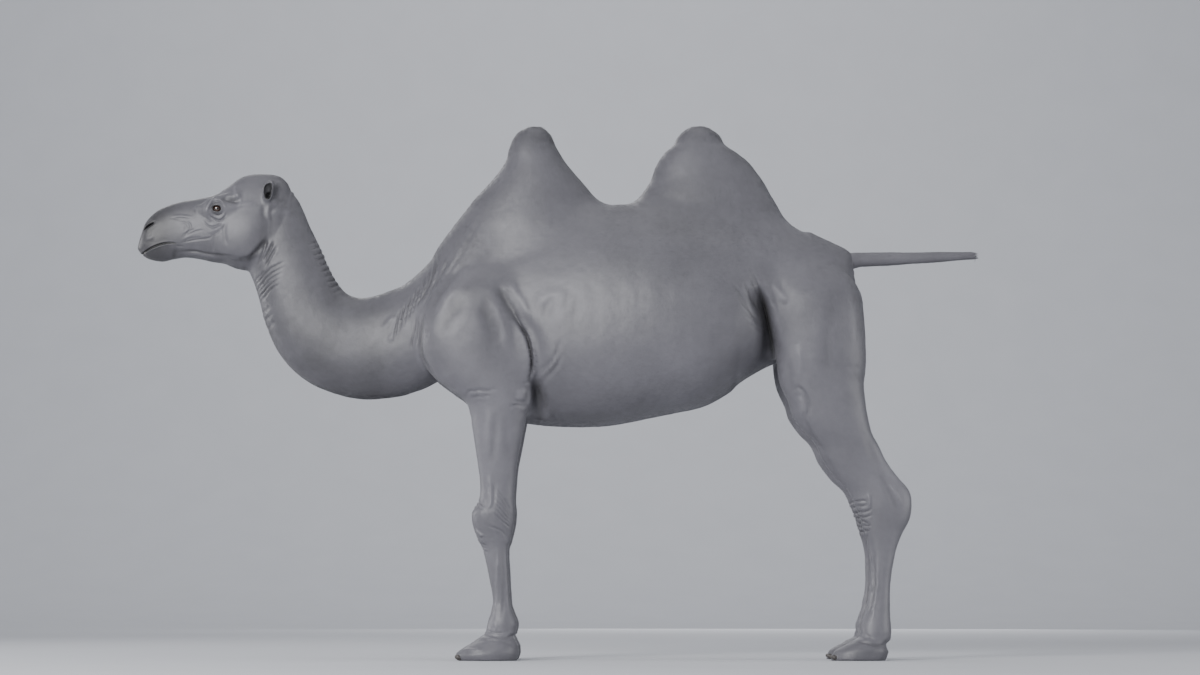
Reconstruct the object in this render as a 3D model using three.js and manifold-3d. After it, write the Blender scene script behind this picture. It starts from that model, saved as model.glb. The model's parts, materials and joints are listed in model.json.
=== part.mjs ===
// A Bactrian camel at life size, standing square on four two-toed feet, its neck low and its head level.
//
// The frame is in millimetres with +Z up. The camel faces -X, its left side is at -Y, and the origin lies
// on the ground under the middle of its length. The flesh is a set of lofts: each is a table of stations,
// and a station is a section line in the animal's side view with the half width of the body there. The
// lofts are joined, settled onto one smooth skin that fillets their creases, and parted into nodes by thin
// flat cuts.
import * as THREE from "three";
import { mergeVertices } from "three/addons/utils/BufferGeometryUtils.js";
import Module from "manifold-3d";

const wasm = await Module();
wasm.setup();

// ---- Driving dimensions -------------------------------------------------------------------------

const GAP = 0.6; // the thickness of each parting cut
const BENDS = 3; // straight steps between two stations of a loft, in the smooth skin
const FAR = 4000; // larger than the animal, for half spaces
const LEFT = -1; // the sign of Y on the camel's left side
const RIGHT = 1;

const HUMP_BASE_Z = 1850; // the humps are parted from the trunk at this level, just above the saddle
const NECK_BASE_X = -570; // the neck is parted from the chest on this upright plane
const SADDLE_X = 213; // the middle of the dip between the humps
const LOIN_X = 790; // the flank, ahead of the hind legs
const FOREARM_TOP_Z = 936; // just under the belly
const KNEE_Z = 590;
const STIFLE_Z = 1120;
const HOCK_Z = 655;
const FORE_ANKLE_Z = 108;
const HIND_ANKLE_Z = 84;
const TAIL_ROOT_X = 1226;
const TAIL_UNDER_Z = 1540;

const EYE = { x: -1379, y: 77, z: 1821, radius: 20, slack: 1 };
const LIDS = { y: 101, halfLength: 23, halfHeight: 16, depth: 16 }; // the opening between the lids
const EAR = { base: [-1176, 82, 1859], tip: [-1160, 106, 1937], width: 23, depth: 15, wall: 5 };
const NOSTRIL = { x: -1666, y: 45, z: 1754, length: 54, height: 9, depth: 28, slope: 0.61 };

// The toe tips of a foot, and the half sizes of its nails.
const FORE_TOES = { x: -396, z: 28, centreY: 151, spread: 42 };
const HIND_TOES = { x: 1106, z: 25, centreY: 150, spread: 37 };
const FORE_CLEFT = { x: -362, z: 62, length: 130, radius: 8, slope: 0.58 };
const HIND_CLEFT = { x: 1136, z: 56, length: 110, radius: 7, slope: 0.5 };
const FORE_NAIL = { inset: 8, width: 20, length: 24, height: 20 };
const HIND_NAIL = { inset: 8, width: 18, length: 21, height: 17 };

// A station is [ax, az, bx, bz, halfWidth, y]: the section line runs from a to b in the side view, and y is
// the distance of the section's middle from the middle plane. n is the superellipse exponent of the section,
// and taper widens the section towards a, or narrows it where it is negative. blend is the width of the
// fillet where the loft meets those joined before it, and paired lofts are made on both sides.

const BARREL = {
  blend: 0,
  n: 2.2,
  taper: -0.13,
  stations: [
    // top, then bottom
    [-482, 1521, -481, 1190, 120],
    [-392, 1642, -391, 1059, 178],
    [-252, 1733, -250, 987, 222],
    [-111, 1788, -110, 950, 256],
    [49, 1826, 50, 939, 292],
    [213, 1845, 213, 945, 322],
    [401, 1842, 400, 979, 340],
    [582, 1824, 580, 1018, 332],
    [686, 1810, 683, 1070, 312],
    [743, 1798, 744, 1122, 292],
    [863, 1775, 861, 1189, 240],
    [983, 1738, 982, 1222, 222],
    [1104, 1688, 1102, 1260, 185],
    [1176, 1646, 1184, 1330, 122],
    [1189, 1604, 1220, 1432, 50],
  ],
};

const FRONT_HUMP = {
  blend: 56,
  n: 2.1,
  taper: 0,
  stations: [
    // front, then back
    [-400, 1550, 240, 1550, 110],
    [-481, 1641, 314, 1642, 158],
    [-416, 1747, 253, 1748, 166],
    [-356, 1847, 176, 1847, 146],
    [-261, 1953, 87, 1953, 118],
    [-215, 2021, 32, 2021, 96],
    [-196, 2083, -5, 2083, 76],
    [-170, 2131, -28, 2130, 56],
    [-133, 2157, -60, 2157, 32],
    [-112, 2164, -88, 2164, 10],
  ],
};

const REAR_HUMP = {
  blend: 56,
  n: 2.1,
  taper: 0,
  stations: [
    [280, 1550, 940, 1550, 120],
    [214, 1642, 1013, 1642, 164],
    [270, 1763, 936, 1764, 170],
    [328, 1869, 877, 1870, 146],
    [374, 1940, 837, 1941, 126],
    [402, 2009, 787, 2010, 104],
    [435, 2057, 734, 2056, 88],
    [470, 2091, 682, 2091, 74],
    [497, 2132, 655, 2132, 55],
    [534, 2158, 616, 2158, 31],
    [562, 2167, 587, 2167, 9],
  ],
};

const NECK = {
  blend: 60,
  n: 2.15,
  taper: 0.06,
  stations: [
    // throat side, then crest side
    [-1274, 1617, -1110, 1923, 72],
    [-1236, 1531, -1052, 1860, 80],
    [-1211, 1451, -1002, 1749, 85],
    [-1186, 1356, -955, 1647, 91],
    [-1133, 1242, -911, 1554, 98],
    [-1052, 1151, -863, 1491, 105],
    [-941, 1087, -815, 1469, 111],
    [-801, 1053, -760, 1470, 118],
    [-671, 1058, -693, 1490, 130],
    [-561, 1088, -613, 1527, 150],
    [-471, 1130, -510, 1623, 180],
    [-371, 1176, -411, 1754, 190],
    [-261, 1260, -302, 1803, 170],
  ],
};

const SKULL = {
  blend: 24,
  n: 2.3,
  taper: 0.04,
  stations: [
    // below, then above
    [-1706, 1663, -1703, 1684, 19],
    [-1695, 1647, -1692, 1722, 39],
    [-1664, 1624, -1672, 1776, 54],
    [-1609, 1613, -1630, 1819, 61],
    [-1562, 1622, -1581, 1843, 62],
    [-1512, 1629, -1524, 1860, 64],
    [-1453, 1622, -1458, 1871, 72],
    [-1404, 1611, -1395, 1886, 84],
    [-1354, 1603, -1340, 1919, 92],
    [-1303, 1584, -1281, 1960, 92],
    [-1251, 1582, -1211, 1972, 88],
    [-1195, 1638, -1144, 1966, 82],
    [-1145, 1688, -1104, 1938, 70],
    [-1106, 1759, -1086, 1893, 45],
  ],
};

const CHEEK = {
  paired: true,
  blend: 26,
  n: 2,
  taper: 0,
  stations: [
    // lower front to upper back of the jaw muscle, on each side
    [-1383, 1650, -1377, 1741, 8, 68],
    [-1328, 1627, -1317, 1786, 26, 68],
    [-1259, 1617, -1245, 1812, 34, 66],
    [-1205, 1645, -1194, 1815, 26, 62],
    [-1176, 1696, -1168, 1786, 8, 56],
  ],
};

const BROW = {
  paired: true,
  blend: 22,
  n: 2,
  taper: 0,
  stations: [
    // under the eye to over it, from front to back
    [-1436, 1803, -1442, 1839, 8, 63],
    [-1411, 1789, -1416, 1861, 21, 69],
    [-1377, 1785, -1377, 1875, 27, 72],
    [-1335, 1793, -1329, 1881, 23, 70],
    [-1292, 1813, -1286, 1877, 9, 65],
  ],
};

const FORELIMB = {
  paired: true,
  blend: 34,
  n: 2.15,
  taper: 0,
  stations: [
    // front, then back, from the top of the shoulder blade to the sole
    [-332, 1612, -190, 1612, 30, 92],
    [-416, 1556, -104, 1556, 68, 122],
    [-488, 1491, -113, 1491, 96, 142],
    [-532, 1400, -129, 1400, 108, 150],
    [-554, 1315, -125, 1315, 114, 154],
    [-550, 1223, -107, 1230, 114, 156],
    [-503, 1140, -99, 1149, 106, 158],
    [-426, 1078, -102, 1079, 93, 161],
    [-370, 1035, -107, 1029, 82, 164],
    [-349, 984, -119, 984, 75, 165],
    [-341, 929, -130, 929, 69, 164],
    [-319, 784, -158, 784, 55, 160],
    [-311, 704, -166, 704, 50, 157],
    [-314, 647, -168, 644, 53, 155],
    [-331, 611, -165, 611, 56, 154],
    [-343, 585, -165, 583, 57, 154],
    [-339, 539, -170, 539, 54, 153],
    [-320, 484, -183, 484, 46, 152],
    [-294, 429, -196, 426, 40, 151],
    [-260, 262, -186, 258, 37, 151],
    [-263, 205, -177, 203, 42, 151],
    [-276, 161, -159, 151, 51, 151],
    [-285, 121, -163, 113, 52, 151],
    [-293, 104, -170, 98, 56, 151],
    [-312, 92, -164, 83, 64, 151],
    [-345, 71, -153, 61, 76, 151],
    [-379, 50, -151, 46, 86, 151],
    [-404, 27, -151, 27, 92, 151],
    [-400, 5, -159, 5, 89, 151],
    [-390, 0, -167, 0, 84, 151],
  ],
};

const HINDLIMB = {
  paired: true,
  blend: 32,
  n: 2.15,
  taper: 0,
  stations: [
    // front, then back, from the hip to the sole
    [883, 1652, 1052, 1622, 30, 96],
    [824, 1592, 1160, 1563, 76, 120],
    [814, 1521, 1216, 1487, 106, 136],
    [832, 1431, 1233, 1402, 120, 144],
    [869, 1240, 1242, 1230, 113, 150],
    [878, 1159, 1240, 1164, 102, 151],
    [896, 1094, 1233, 1104, 91, 154],
    [926, 1029, 1238, 1044, 81, 156],
    [943, 974, 1247, 984, 74, 156],
    [981, 920, 1264, 914, 66, 153],
    [1031, 866, 1291, 860, 58, 150],
    [1062, 799, 1323, 795, 52, 147],
    [1111, 734, 1369, 732, 47, 144],
    [1163, 681, 1412, 680, 48, 142],
    [1192, 624, 1423, 627, 50, 141],
    [1212, 569, 1414, 564, 48, 141],
    [1229, 514, 1381, 499, 43, 142],
    [1248, 449, 1358, 437, 38, 143],
    [1258, 370, 1343, 365, 35, 145],
    [1255, 290, 1334, 290, 35, 146],
    [1242, 220, 1333, 215, 39, 147],
    [1228, 181, 1334, 176, 44, 147],
    [1215, 149, 1337, 143, 49, 148],
    [1212, 123, 1338, 113, 52, 149],
    [1205, 93, 1334, 85, 54, 149],
    [1179, 79, 1319, 67, 61, 150],
    [1137, 59, 1320, 51, 72, 150],
    [1107, 37, 1325, 35, 79, 150],
    [1096, 5, 1314, 5, 79, 150],
    [1105, 0, 1304, 0, 74, 150],
  ],
};

const TAIL = {
  blend: 30,
  n: 2,
  taper: 0,
  stations: [
    // above, then below
    [1024, 1720, 1063, 1582, 70],
    [1104, 1682, 1123, 1572, 56],
    [1164, 1653, 1172, 1580, 40],
    [1219, 1652, 1218, 1589, 29],
    [1334, 1653, 1334, 1595, 26],
    [1475, 1653, 1475, 1603, 21],
    [1605, 1654, 1605, 1615, 17],
    [1684, 1654, 1684, 1619, 15],
    [1700, 1648, 1700, 1624, 9],
  ],
};

// The line between the lips, from the muzzle to the corner of the mouth, and on along the jaw to the
// throat.
const LIP_LINE = [
  [-1767, 1632],
  [-1690, 1646],
  [-1640, 1667],
  [-1597, 1680],
  [-1552, 1681],
  [-1487, 1672],
  [-1406, 1656],
  [-1326, 1634],
  [-1267, 1600],
];

// ---- Making solids ------------------------------------------------------------------------------

// A closed three.js geometry as a solid that can be joined and cut.
function solidOf(geometry) {
  const bare = geometry.clone();
  bare.deleteAttribute("normal");
  bare.deleteAttribute("uv");
  const merged = mergeVertices(bare, 1e-3);
  return new wasm.Manifold(
    new wasm.Mesh({
      numProp: 3,
      vertProperties: new Float32Array(merged.attributes.position.array),
      triVerts: new Uint32Array(merged.index.array),
    }),
  );
}

// A Catmull-Rom value of a table's rows at t, counted in rows.
function rowAt(stations, t) {
  const last = stations.length - 1;
  const i = Math.min(Math.floor(t), last - 1);
  const f = t - i;
  const row = (k) => stations[Math.max(0, Math.min(last, k))];
  return row(i).map((_, c) => {
    const [p0, p1, p2, p3] = [row(i - 1)[c], row(i)[c], row(i + 1)[c], row(i + 2)[c]];
    const slope1 = (p2 - p0) / 2;
    const slope2 = (p3 - p1) / 2;
    const bend = 3 * (p2 - p1) - 2 * slope1 - slope2;
    return p1 + f * (slope1 + f * (bend + f * (2 * (p1 - p2) + slope1 + slope2)));
  });
}

// A loft's surface: rings of points round its section lines, closed by a flat cap at each end.
function loft(shape, { side = RIGHT, around, steps = 1 }) {
  const { stations, n, taper } = shape;
  const rings = (stations.length - 1) * steps + 1;
  const positions = [];
  for (let r = 0; r < rings; r++) {
    const [ax, az, bx, bz, halfWidth, y = 0] = rowAt(stations, r / steps);
    for (let k = 0; k < around; k++) {
      const angle = (2 * Math.PI * k) / around;
      const along = Math.sign(Math.cos(angle)) * Math.abs(Math.cos(angle)) ** (2 / n);
      const across = Math.sign(Math.sin(angle)) * Math.abs(Math.sin(angle)) ** (2 / n);
      positions.push(
        (ax + bx) / 2 + ((ax - bx) / 2) * along,
        side * (y + across * halfWidth * (1 + taper * along)),
        (az + bz) / 2 + ((az - bz) / 2) * along,
      );
    }
  }
  const faces = [];
  const at = (r, k) => r * around + (k % around);
  for (let r = 0; r < rings - 1; r++) {
    for (let k = 0; k < around; k++) {
      faces.push([at(r, k), at(r, k + 1), at(r + 1, k + 1)]);
      faces.push([at(r, k), at(r + 1, k + 1), at(r + 1, k)]);
    }
  }
  for (let k = 1; k < around - 1; k++) {
    faces.push([at(0, 0), at(0, k + 1), at(0, k)]);
    faces.push([at(rings - 1, 0), at(rings - 1, k), at(rings - 1, k + 1)]);
  }
  const geometry = new THREE.BufferGeometry();
  geometry.setAttribute("position", new THREE.Float32BufferAttribute(positions, 3));
  geometry.setIndex(faces.flat());
  const made = solidOf(geometry);
  if (made.volume() > 0) return made;
  geometry.setIndex(faces.map(([a, b, c]) => [a, c, b]).flat());
  return solidOf(geometry);
}

// The camel's skin as a field: about how far a point is outside it, in millimetres. Each loft gives a
// distance, and each next one is joined with a fillet of its own width.
const FLESH = [BARREL, FRONT_HUMP, REAR_HUMP, NECK, SKULL, CHEEK, BROW, TAIL, FORELIMB, HINDLIMB];


// The section planes of a loft, close enough together to be joined by straight lines.
function planesOf({ stations }) {
  const count = (stations.length - 1) * BENDS + 1;
  const planes = Array.from({ length: count }, (_, i) => {
    const [ax, az, bx, bz, halfWidth, y = 0] = rowAt(stations, i / BENDS);
    const reach = Math.hypot(ax - bx, az - bz) / 2;
    const [ux, uz] = [(ax - bx) / (2 * reach), (az - bz) / (2 * reach)];
    return { x: (ax + bx) / 2, z: (az + bz) / 2, ux, uz, reach, halfWidth, y };
  });
  const [first, second] = planes;
  const turn = Math.sign((second.x - first.x) * -first.uz + (second.z - first.z) * first.ux);
  return { planes, turn };
}

const FIELD = FLESH.map((shape) => ({ ...shape, ...planesOf(shape) }));

function sectionDistance({ n, taper, paired }, plane, x, y, z) {
  const u = ((x - plane.x) * plane.ux + (z - plane.z) * plane.uz) / plane.reach;
  const halfWidth = plane.halfWidth * (1 + taper * Math.max(-1, Math.min(1, u)));
  const v = ((paired ? Math.abs(y) : y) - plane.y) / halfWidth;
  const [au, av] = [Math.abs(u), Math.abs(v)];
  const q = Math.max(1e-4, (au ** n + av ** n) ** (1 / n));
  const slope = Math.hypot(au ** (n - 1) / plane.reach, av ** (n - 1) / halfWidth) / q ** (n - 1);
  return (q - 1) / Math.max(slope, 1e-5);
}

function loftDistance(shape, x, y, z) {
  const { planes, turn } = shape;
  const ahead = planes.map((p) => turn * ((x - p.x) * -p.uz + (z - p.z) * p.ux));
  const pastEnd = (plane, excess) => {
    const outside = Math.max(sectionDistance(shape, plane, x, y, z), 0);
    return Math.hypot(outside, excess);
  };
  let nearest = Infinity;
  if (ahead[0] < 0) nearest = pastEnd(planes[0], ahead[0]);
  if (ahead.at(-1) > 0) nearest = Math.min(nearest, pastEnd(planes.at(-1), ahead.at(-1)));
  for (let i = 0; i + 1 < planes.length; i++) {
    if (ahead[i] < 0 || ahead[i + 1] > 0) continue;
    const t = ahead[i] / Math.max(ahead[i] - ahead[i + 1], 1e-6);
    const plane = Object.fromEntries(
      Object.entries(planes[i]).map(([key, value]) => [key, value + t * (planes[i + 1][key] - value)]),
    );
    nearest = Math.min(nearest, sectionDistance(shape, plane, x, y, z));
  }
  return nearest;
}

function fieldAt(x, y, z) {
  return FIELD.reduce((sum, shape) => {
    const d = loftDistance(shape, x, y, z);
    if (!shape.blend) return Math.min(sum, d);
    const overlap = Math.max(shape.blend - Math.abs(sum - d), 0) / shape.blend;
    return Math.min(sum, d) - (overlap * overlap * shape.blend) / 4;
  }, 1e4);
}

// The point moved along the field's slope to where the field is the level, which is the skin where it is 0.
function ontoLevel([x, y, z], level) {
  const [probe, longest, rounds] = [1.5, 12, 5];
  for (let round = 0; round < rounds; round++) {
    const excess = fieldAt(x, y, z) - level;
    if (Math.abs(excess) < 0.1) break;
    const slope = [
      fieldAt(x + probe, y, z) - level - excess,
      fieldAt(x, y + probe, z) - level - excess,
      fieldAt(x, y, z + probe) - level - excess,
    ].map((rise) => rise / probe);
    const step = Math.max(-longest, Math.min(longest, excess)) / Math.max(dot(slope, slope), 0.25);
    [x, y, z] = [x - slope[0] * step, y - slope[1] * step, z - slope[2] * step];
  }
  return [x, y, z];
}

const minus = (a, b) => [a[0] - b[0], a[1] - b[1], a[2] - b[2]];
const dot = (a, b) => a[0] * b[0] + a[1] * b[1] + a[2] * b[2];
const cross = (a, b) => [a[1] * b[2] - a[2] * b[1], a[2] * b[0] - a[0] * b[2], a[0] * b[1] - a[1] * b[0]];
const normalOf = (a, b, c) => {
  const n = cross(minus(b, a), minus(c, a));
  const size = Math.sqrt(dot(n, n)) || 1;
  return n.map((v) => v / size);
};

// Moves a solid's corners onto the skin, which rounds the creases between its lofts. A corner is left
// nearer to where it was if moving it would turn a facet round it too far.
function settle(solid, level = 0) {
  const { numProp, vertProperties, triVerts } = solid.getMesh();
  const before = [];
  for (let i = 0; i < vertProperties.length; i += numProp) {
    before.push([...vertProperties.subarray(i, i + 3)]);
  }
  const moved = before.map((point) => ontoLevel(point, level));
  const [passes, leastCosine] = [8, 0.5];
  for (let pass = 0; pass < passes; pass++) {
    for (let i = 0; i < triVerts.length; i += 3) {
      const corners = [...triVerts.subarray(i, i + 3)];
      const was = normalOf(...corners.map((k) => before[k]));
      const is = normalOf(...corners.map((k) => moved[k]));
      if (dot(was, is) > leastCosine) continue;
      for (const k of corners) moved[k] = moved[k].map((v, axis) => (v + before[k][axis]) / 2);
    }
  }
  return new wasm.Manifold(
    new wasm.Mesh({ numProp: 3, vertProperties: new Float32Array(moved.flat()), triVerts }),
  );
}

const join = (...solids) => solids.reduce((sum, next) => sum.add(next));

const bothSides = (shape, options) =>
  join(loft(shape, { ...options, side: LEFT }), loft(shape, { ...options, side: RIGHT }));

// A box between two corners.
function block(low, high) {
  const size = high.map((v, i) => v - low[i]);
  const middle = high.map((v, i) => (v + low[i]) / 2);
  return solidOf(new THREE.BoxGeometry(...size).translate(...middle));
}

// The half space ahead of a plane that stands on the line from p to q in the side view, on the left of that
// line as seen with +X to the right, and offset from it.
function halfSpace([px, pz], [qx, qz], offset) {
  const angle = Math.atan2(qz - pz, qx - px);
  const box = new THREE.BoxGeometry(2 * FAR, 2 * FAR, 2 * FAR).translate(0, 0, FAR + offset);
  box.rotateY(-angle);
  return solidOf(box.translate(px, 0, pz));
}

// Parts a solid on such a plane: [what is on its left, what is on its right], with the gap between them.
const part = (solid, p, q) => [
  solid.intersect(halfSpace(p, q, GAP / 2)),
  solid.subtract(halfSpace(p, q, -GAP / 2)),
];

// A ball stretched to half sizes, turned by pitch in the side view.
function ball([x, y, z], [rx, ry, rz], pitch, detail) {
  const sphere = new THREE.SphereGeometry(1, detail, Math.round(detail * 0.7));
  return solidOf(sphere.scale(rx, ry, rz).rotateY(-pitch).translate(x, y, z));
}

// ---- Parts of the camel -------------------------------------------------------------------------

// All the flesh as one solid, from the muzzle to the tail and the soles. The cheeks are raised from the
// skull's own surface.
const bareSkull = loft(SKULL, { around: 16, steps: 2 });
const flesh = settle(
  join(
    loft(BARREL, { around: 20 }),
    loft(NECK, { around: 16 }),
    bareSkull,
    bothSides(BROW, { around: 8 }),
    loft(FRONT_HUMP, { around: 12 }),
    loft(REAR_HUMP, { around: 12 }),
    loft(TAIL, { around: 8 }),
    bothSides(FORELIMB, { around: 12 }),
    bothSides(HINDLIMB, { around: 12 }),
  ),
);

// What the ears stand on, a gap above the skin.
const scalp = settle(bareSkull, GAP);

// The head less the pits for the eyes and the slits of the nostrils.
function carveHead(block) {
  let made = block;
  for (const side of [LEFT, RIGHT]) {
    const pit = EYE.radius + EYE.slack;
    made = made.subtract(ball([EYE.x, side * EYE.y, EYE.z], [pit, pit, pit], 0, 10));
    const opening = [LIDS.halfLength, LIDS.depth, LIDS.halfHeight];
    made = made.subtract(ball([EYE.x, side * LIDS.y, EYE.z], opening, 0, 10));
    const slit = [NOSTRIL.length / 2, NOSTRIL.depth / 2, NOSTRIL.height / 2];
    made = made.subtract(ball([NOSTRIL.x, side * NOSTRIL.y, NOSTRIL.z], slit, NOSTRIL.slope, 8));
  }
  return made;
}

// What lies below the lip line, across the whole head.
function jawSpace(drop) {
  const outline = new THREE.Shape();
  LIP_LINE.forEach(([x, z], i) => (i ? outline.lineTo(x, z - drop) : outline.moveTo(x, z - drop)));
  outline.lineTo(LIP_LINE.at(-1)[0], 1400);
  outline.lineTo(LIP_LINE[0][0], 1400);
  const slab = new THREE.ExtrudeGeometry(outline, { depth: 600, bevelEnabled: false });
  return solidOf(slab.rotateX(Math.PI / 2).translate(0, 300, 0));
}

// A cupped ear, open to the side and a little forward, with its root in the head.
function ear(side) {
  const root = new THREE.Vector3(...EAR.base);
  const tip = new THREE.Vector3(...EAR.tip);
  const height = root.distanceTo(tip);
  const cup = (inset, sink) => {
    const profile = [[0, -0.3]];
    for (let i = 0; i <= 5; i++) {
      const t = i / 5;
      profile.push([Math.max(0.02, Math.sin(Math.PI * (0.2 + 0.8 * t ** 1.25)) ** 0.7), -0.3 + 1.3 * t]);
    }
    profile.push([0, 1]);
    const shape = new THREE.LatheGeometry(profile.map(([r, h]) => new THREE.Vector2(r, h)), 8);
    shape.rotateX(Math.PI / 2);
    shape.scale(EAR.width - inset, EAR.depth - inset * 0.6, height - inset);
    return shape.translate(0, sink, inset * 0.4);
  };
  const place = (geometry) => {
    const lean = Math.atan2(tip.y - root.y, tip.z - root.z);
    geometry.rotateX(-lean).rotateZ(0.35).translate(root.x, root.y, root.z);
    if (side === RIGHT) return solidOf(geometry);
    geometry.scale(1, -1, 1);
    const turned = geometry.index.array;
    for (let i = 0; i < turned.length; i += 3) {
      [turned[i + 1], turned[i + 2]] = [turned[i + 2], turned[i + 1]];
    }
    return solidOf(geometry);
  };
  return place(cup(0, 0)).subtract(place(cup(EAR.wall, EAR.depth * 0.62)));
}

// A foot's pad with the cleft between its two toes, and its two nails.
function foot(whole, side, toes, cleft, nailSize) {
  const y = side * toes.centreY;
  const groove = new THREE.CylinderGeometry(cleft.radius, cleft.radius, cleft.length, 4);
  groove.rotateZ(Math.PI / 2).rotateY(-cleft.slope).translate(cleft.x, y, cleft.z);
  const pad = whole.subtract(solidOf(groove));
  const nails = [-1, 1].map((k) => {
    const centre = [toes.x + nailSize.inset, y + k * toes.spread, nailSize.height * 0.62];
    const horn = ball(centre, [nailSize.length, nailSize.width, nailSize.height], 0.35, 6);
    return horn.subtract(block([-FAR, -FAR, -FAR], [FAR, FAR, 2]));
  });
  return { pad, nails };
}

// ---- The nodes ----------------------------------------------------------------------------------

const COAT = new THREE.MeshStandardMaterial({ color: 0x8d7f73, roughness: 0.75, metalness: 0 });
const HORN = new THREE.MeshStandardMaterial({ color: 0x3d352f, roughness: 0.45, metalness: 0 });
const WET_EYE = new THREE.MeshStandardMaterial({ color: 0x1c120c, roughness: 0.05, metalness: 0 });

const camel = new THREE.Group();

function addNode(name, solid, material) {
  const { numProp, vertProperties, triVerts } = solid.getMesh();
  const positions = new Float32Array((vertProperties.length / numProp) * 3);
  for (let i = 0; i < positions.length / 3; i++) {
    positions.set(vertProperties.subarray(i * numProp, i * numProp + 3), i * 3);
  }
  const geometry = new THREE.BufferGeometry();
  geometry.setAttribute("position", new THREE.BufferAttribute(positions, 3));
  geometry.setIndex(new THREE.BufferAttribute(triVerts, 1));
  geometry.computeVertexNormals();
  const mesh = new THREE.Mesh(geometry, material);
  mesh.name = name;
  camel.add(mesh);
}

// Keeps the largest piece, where a cut leaves slivers beside it.
const largest = (solid) =>
  solid.decompose().reduce((best, next) => (next.volume() > best.volume() ? next : best));

// The head and neck are parted at the throat, at the bend of the neck and at its root.
const [headBlock, behindHead] = part(flesh, [-1238, 1560], [-1078, 1885]);
const head = carveHead(headBlock);
addNode("head", largest(head.subtract(jawSpace(0))), COAT);
addNode("jaw", largest(head.intersect(jawSpace(GAP))), COAT);
const [neckUpper, behindBend] = part(behindHead, [-1050, 1156], [-858, 1497]);
const [neckLower, rest] = part(behindBend, [NECK_BASE_X, 0], [NECK_BASE_X, 1000]);
addNode("neck_upper", largest(neckUpper), COAT);
addNode("neck_lower", largest(neckLower), COAT);

// What is left is cut by boxes into the humps, the tail, the legs and the trunk.
const boxes = {
  humps: [[-FAR, -FAR, HUMP_BASE_Z], [FAR, FAR, FAR]],
  tail: [[TAIL_ROOT_X, -FAR, TAIL_UNDER_Z], [FAR, FAR, HUMP_BASE_Z]],
  forelegs: [[-FAR, -FAR, -FAR], [0, FAR, FOREARM_TOP_Z]],
  hindlegs: [[LOIN_X, -FAR, -FAR], [FAR, FAR, STIFLE_Z]],
};
const inset = ([low, high]) => block(low.map((v) => v + GAP / 2), high.map((v) => v - GAP / 2));
const outset = ([low, high]) => block(low.map((v) => v - GAP / 2), high.map((v) => v + GAP / 2));
const trunk = Object.values(boxes).reduce((left, box) => left.subtract(outset(box)), rest);
const forelegs = rest.intersect(inset(boxes.forelegs));
const hindlegs = rest.intersect(inset(boxes.hindlegs));
const humps = rest.intersect(inset(boxes.humps));
const [humpFront, humpRear] = part(humps, [SADDLE_X, 0], [SADDLE_X, 1000]);
addNode("trunk", largest(trunk), COAT);
addNode("hump_front", largest(humpFront), COAT);
addNode("hump_rear", largest(humpRear), COAT);
addNode("tail", largest(rest.intersect(inset(boxes.tail))), COAT);

const legsOn = {
  left: block([-FAR, -FAR, -FAR], [FAR, 0, FAR]),
  right: block([-FAR, 0, -FAR], [FAR, FAR, FAR]),
};
for (const [word, side] of [["left", LEFT], ["right", RIGHT]]) {
  addNode(`ear_${word}`, largest(ear(side).subtract(scalp).subtract(flesh)), COAT);
  const eyeSize = [EYE.radius, EYE.radius, EYE.radius];
  addNode(`eye_${word}`, ball([EYE.x, side * EYE.y, EYE.z], eyeSize, 0, 10), WET_EYE);

  const [foreFlesh, foreLow] = part(forelegs.intersect(legsOn[word]), [-400, KNEE_Z], [0, KNEE_Z]);
  addNode(`forearm_${word}`, largest(foreFlesh), COAT);
  const [foreCannon, foreFoot] = part(foreLow, [-400, FORE_ANKLE_Z], [0, FORE_ANKLE_Z]);
  addNode(`fore_cannon_${word}`, largest(foreCannon), COAT);

  const hindLeg = hindlegs.intersect(legsOn[word]);
  const [shank, hindLow] = part(hindLeg, [1100, HOCK_Z + 45], [1450, HOCK_Z - 60]);
  addNode(`shank_${word}`, largest(shank), COAT);
  const [hindCannon, hindFoot] = part(hindLow, [1100, HIND_ANKLE_Z], [1450, HIND_ANKLE_Z]);
  addNode(`hind_cannon_${word}`, largest(hindCannon), COAT);

  const feet = {
    fore: foot(foreFoot, side, FORE_TOES, FORE_CLEFT, FORE_NAIL),
    hind: foot(hindFoot, side, HIND_TOES, HIND_CLEFT, HIND_NAIL),
  };
  for (const [end, { pad, nails }] of Object.entries(feet)) {
    const sole = nails.reduce((left, horn) => left.subtract(horn), pad);
    addNode(`${end}foot_${word}`, largest(sole), COAT);
    nails.forEach((horn, i) => addNode(`${end}_nail_${word}_${i + 1}`, largest(horn), HORN));
  }
}

export default camel;
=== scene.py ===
"""A bactrian camel in its short summer coat, as a life-size model: one skin over the part's solids, with its
eyes, nails, lashes and tufts of hair. The skin is meshed from the same lofts that shape the solids, in mm."""
import itertools
import json
import math

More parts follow.
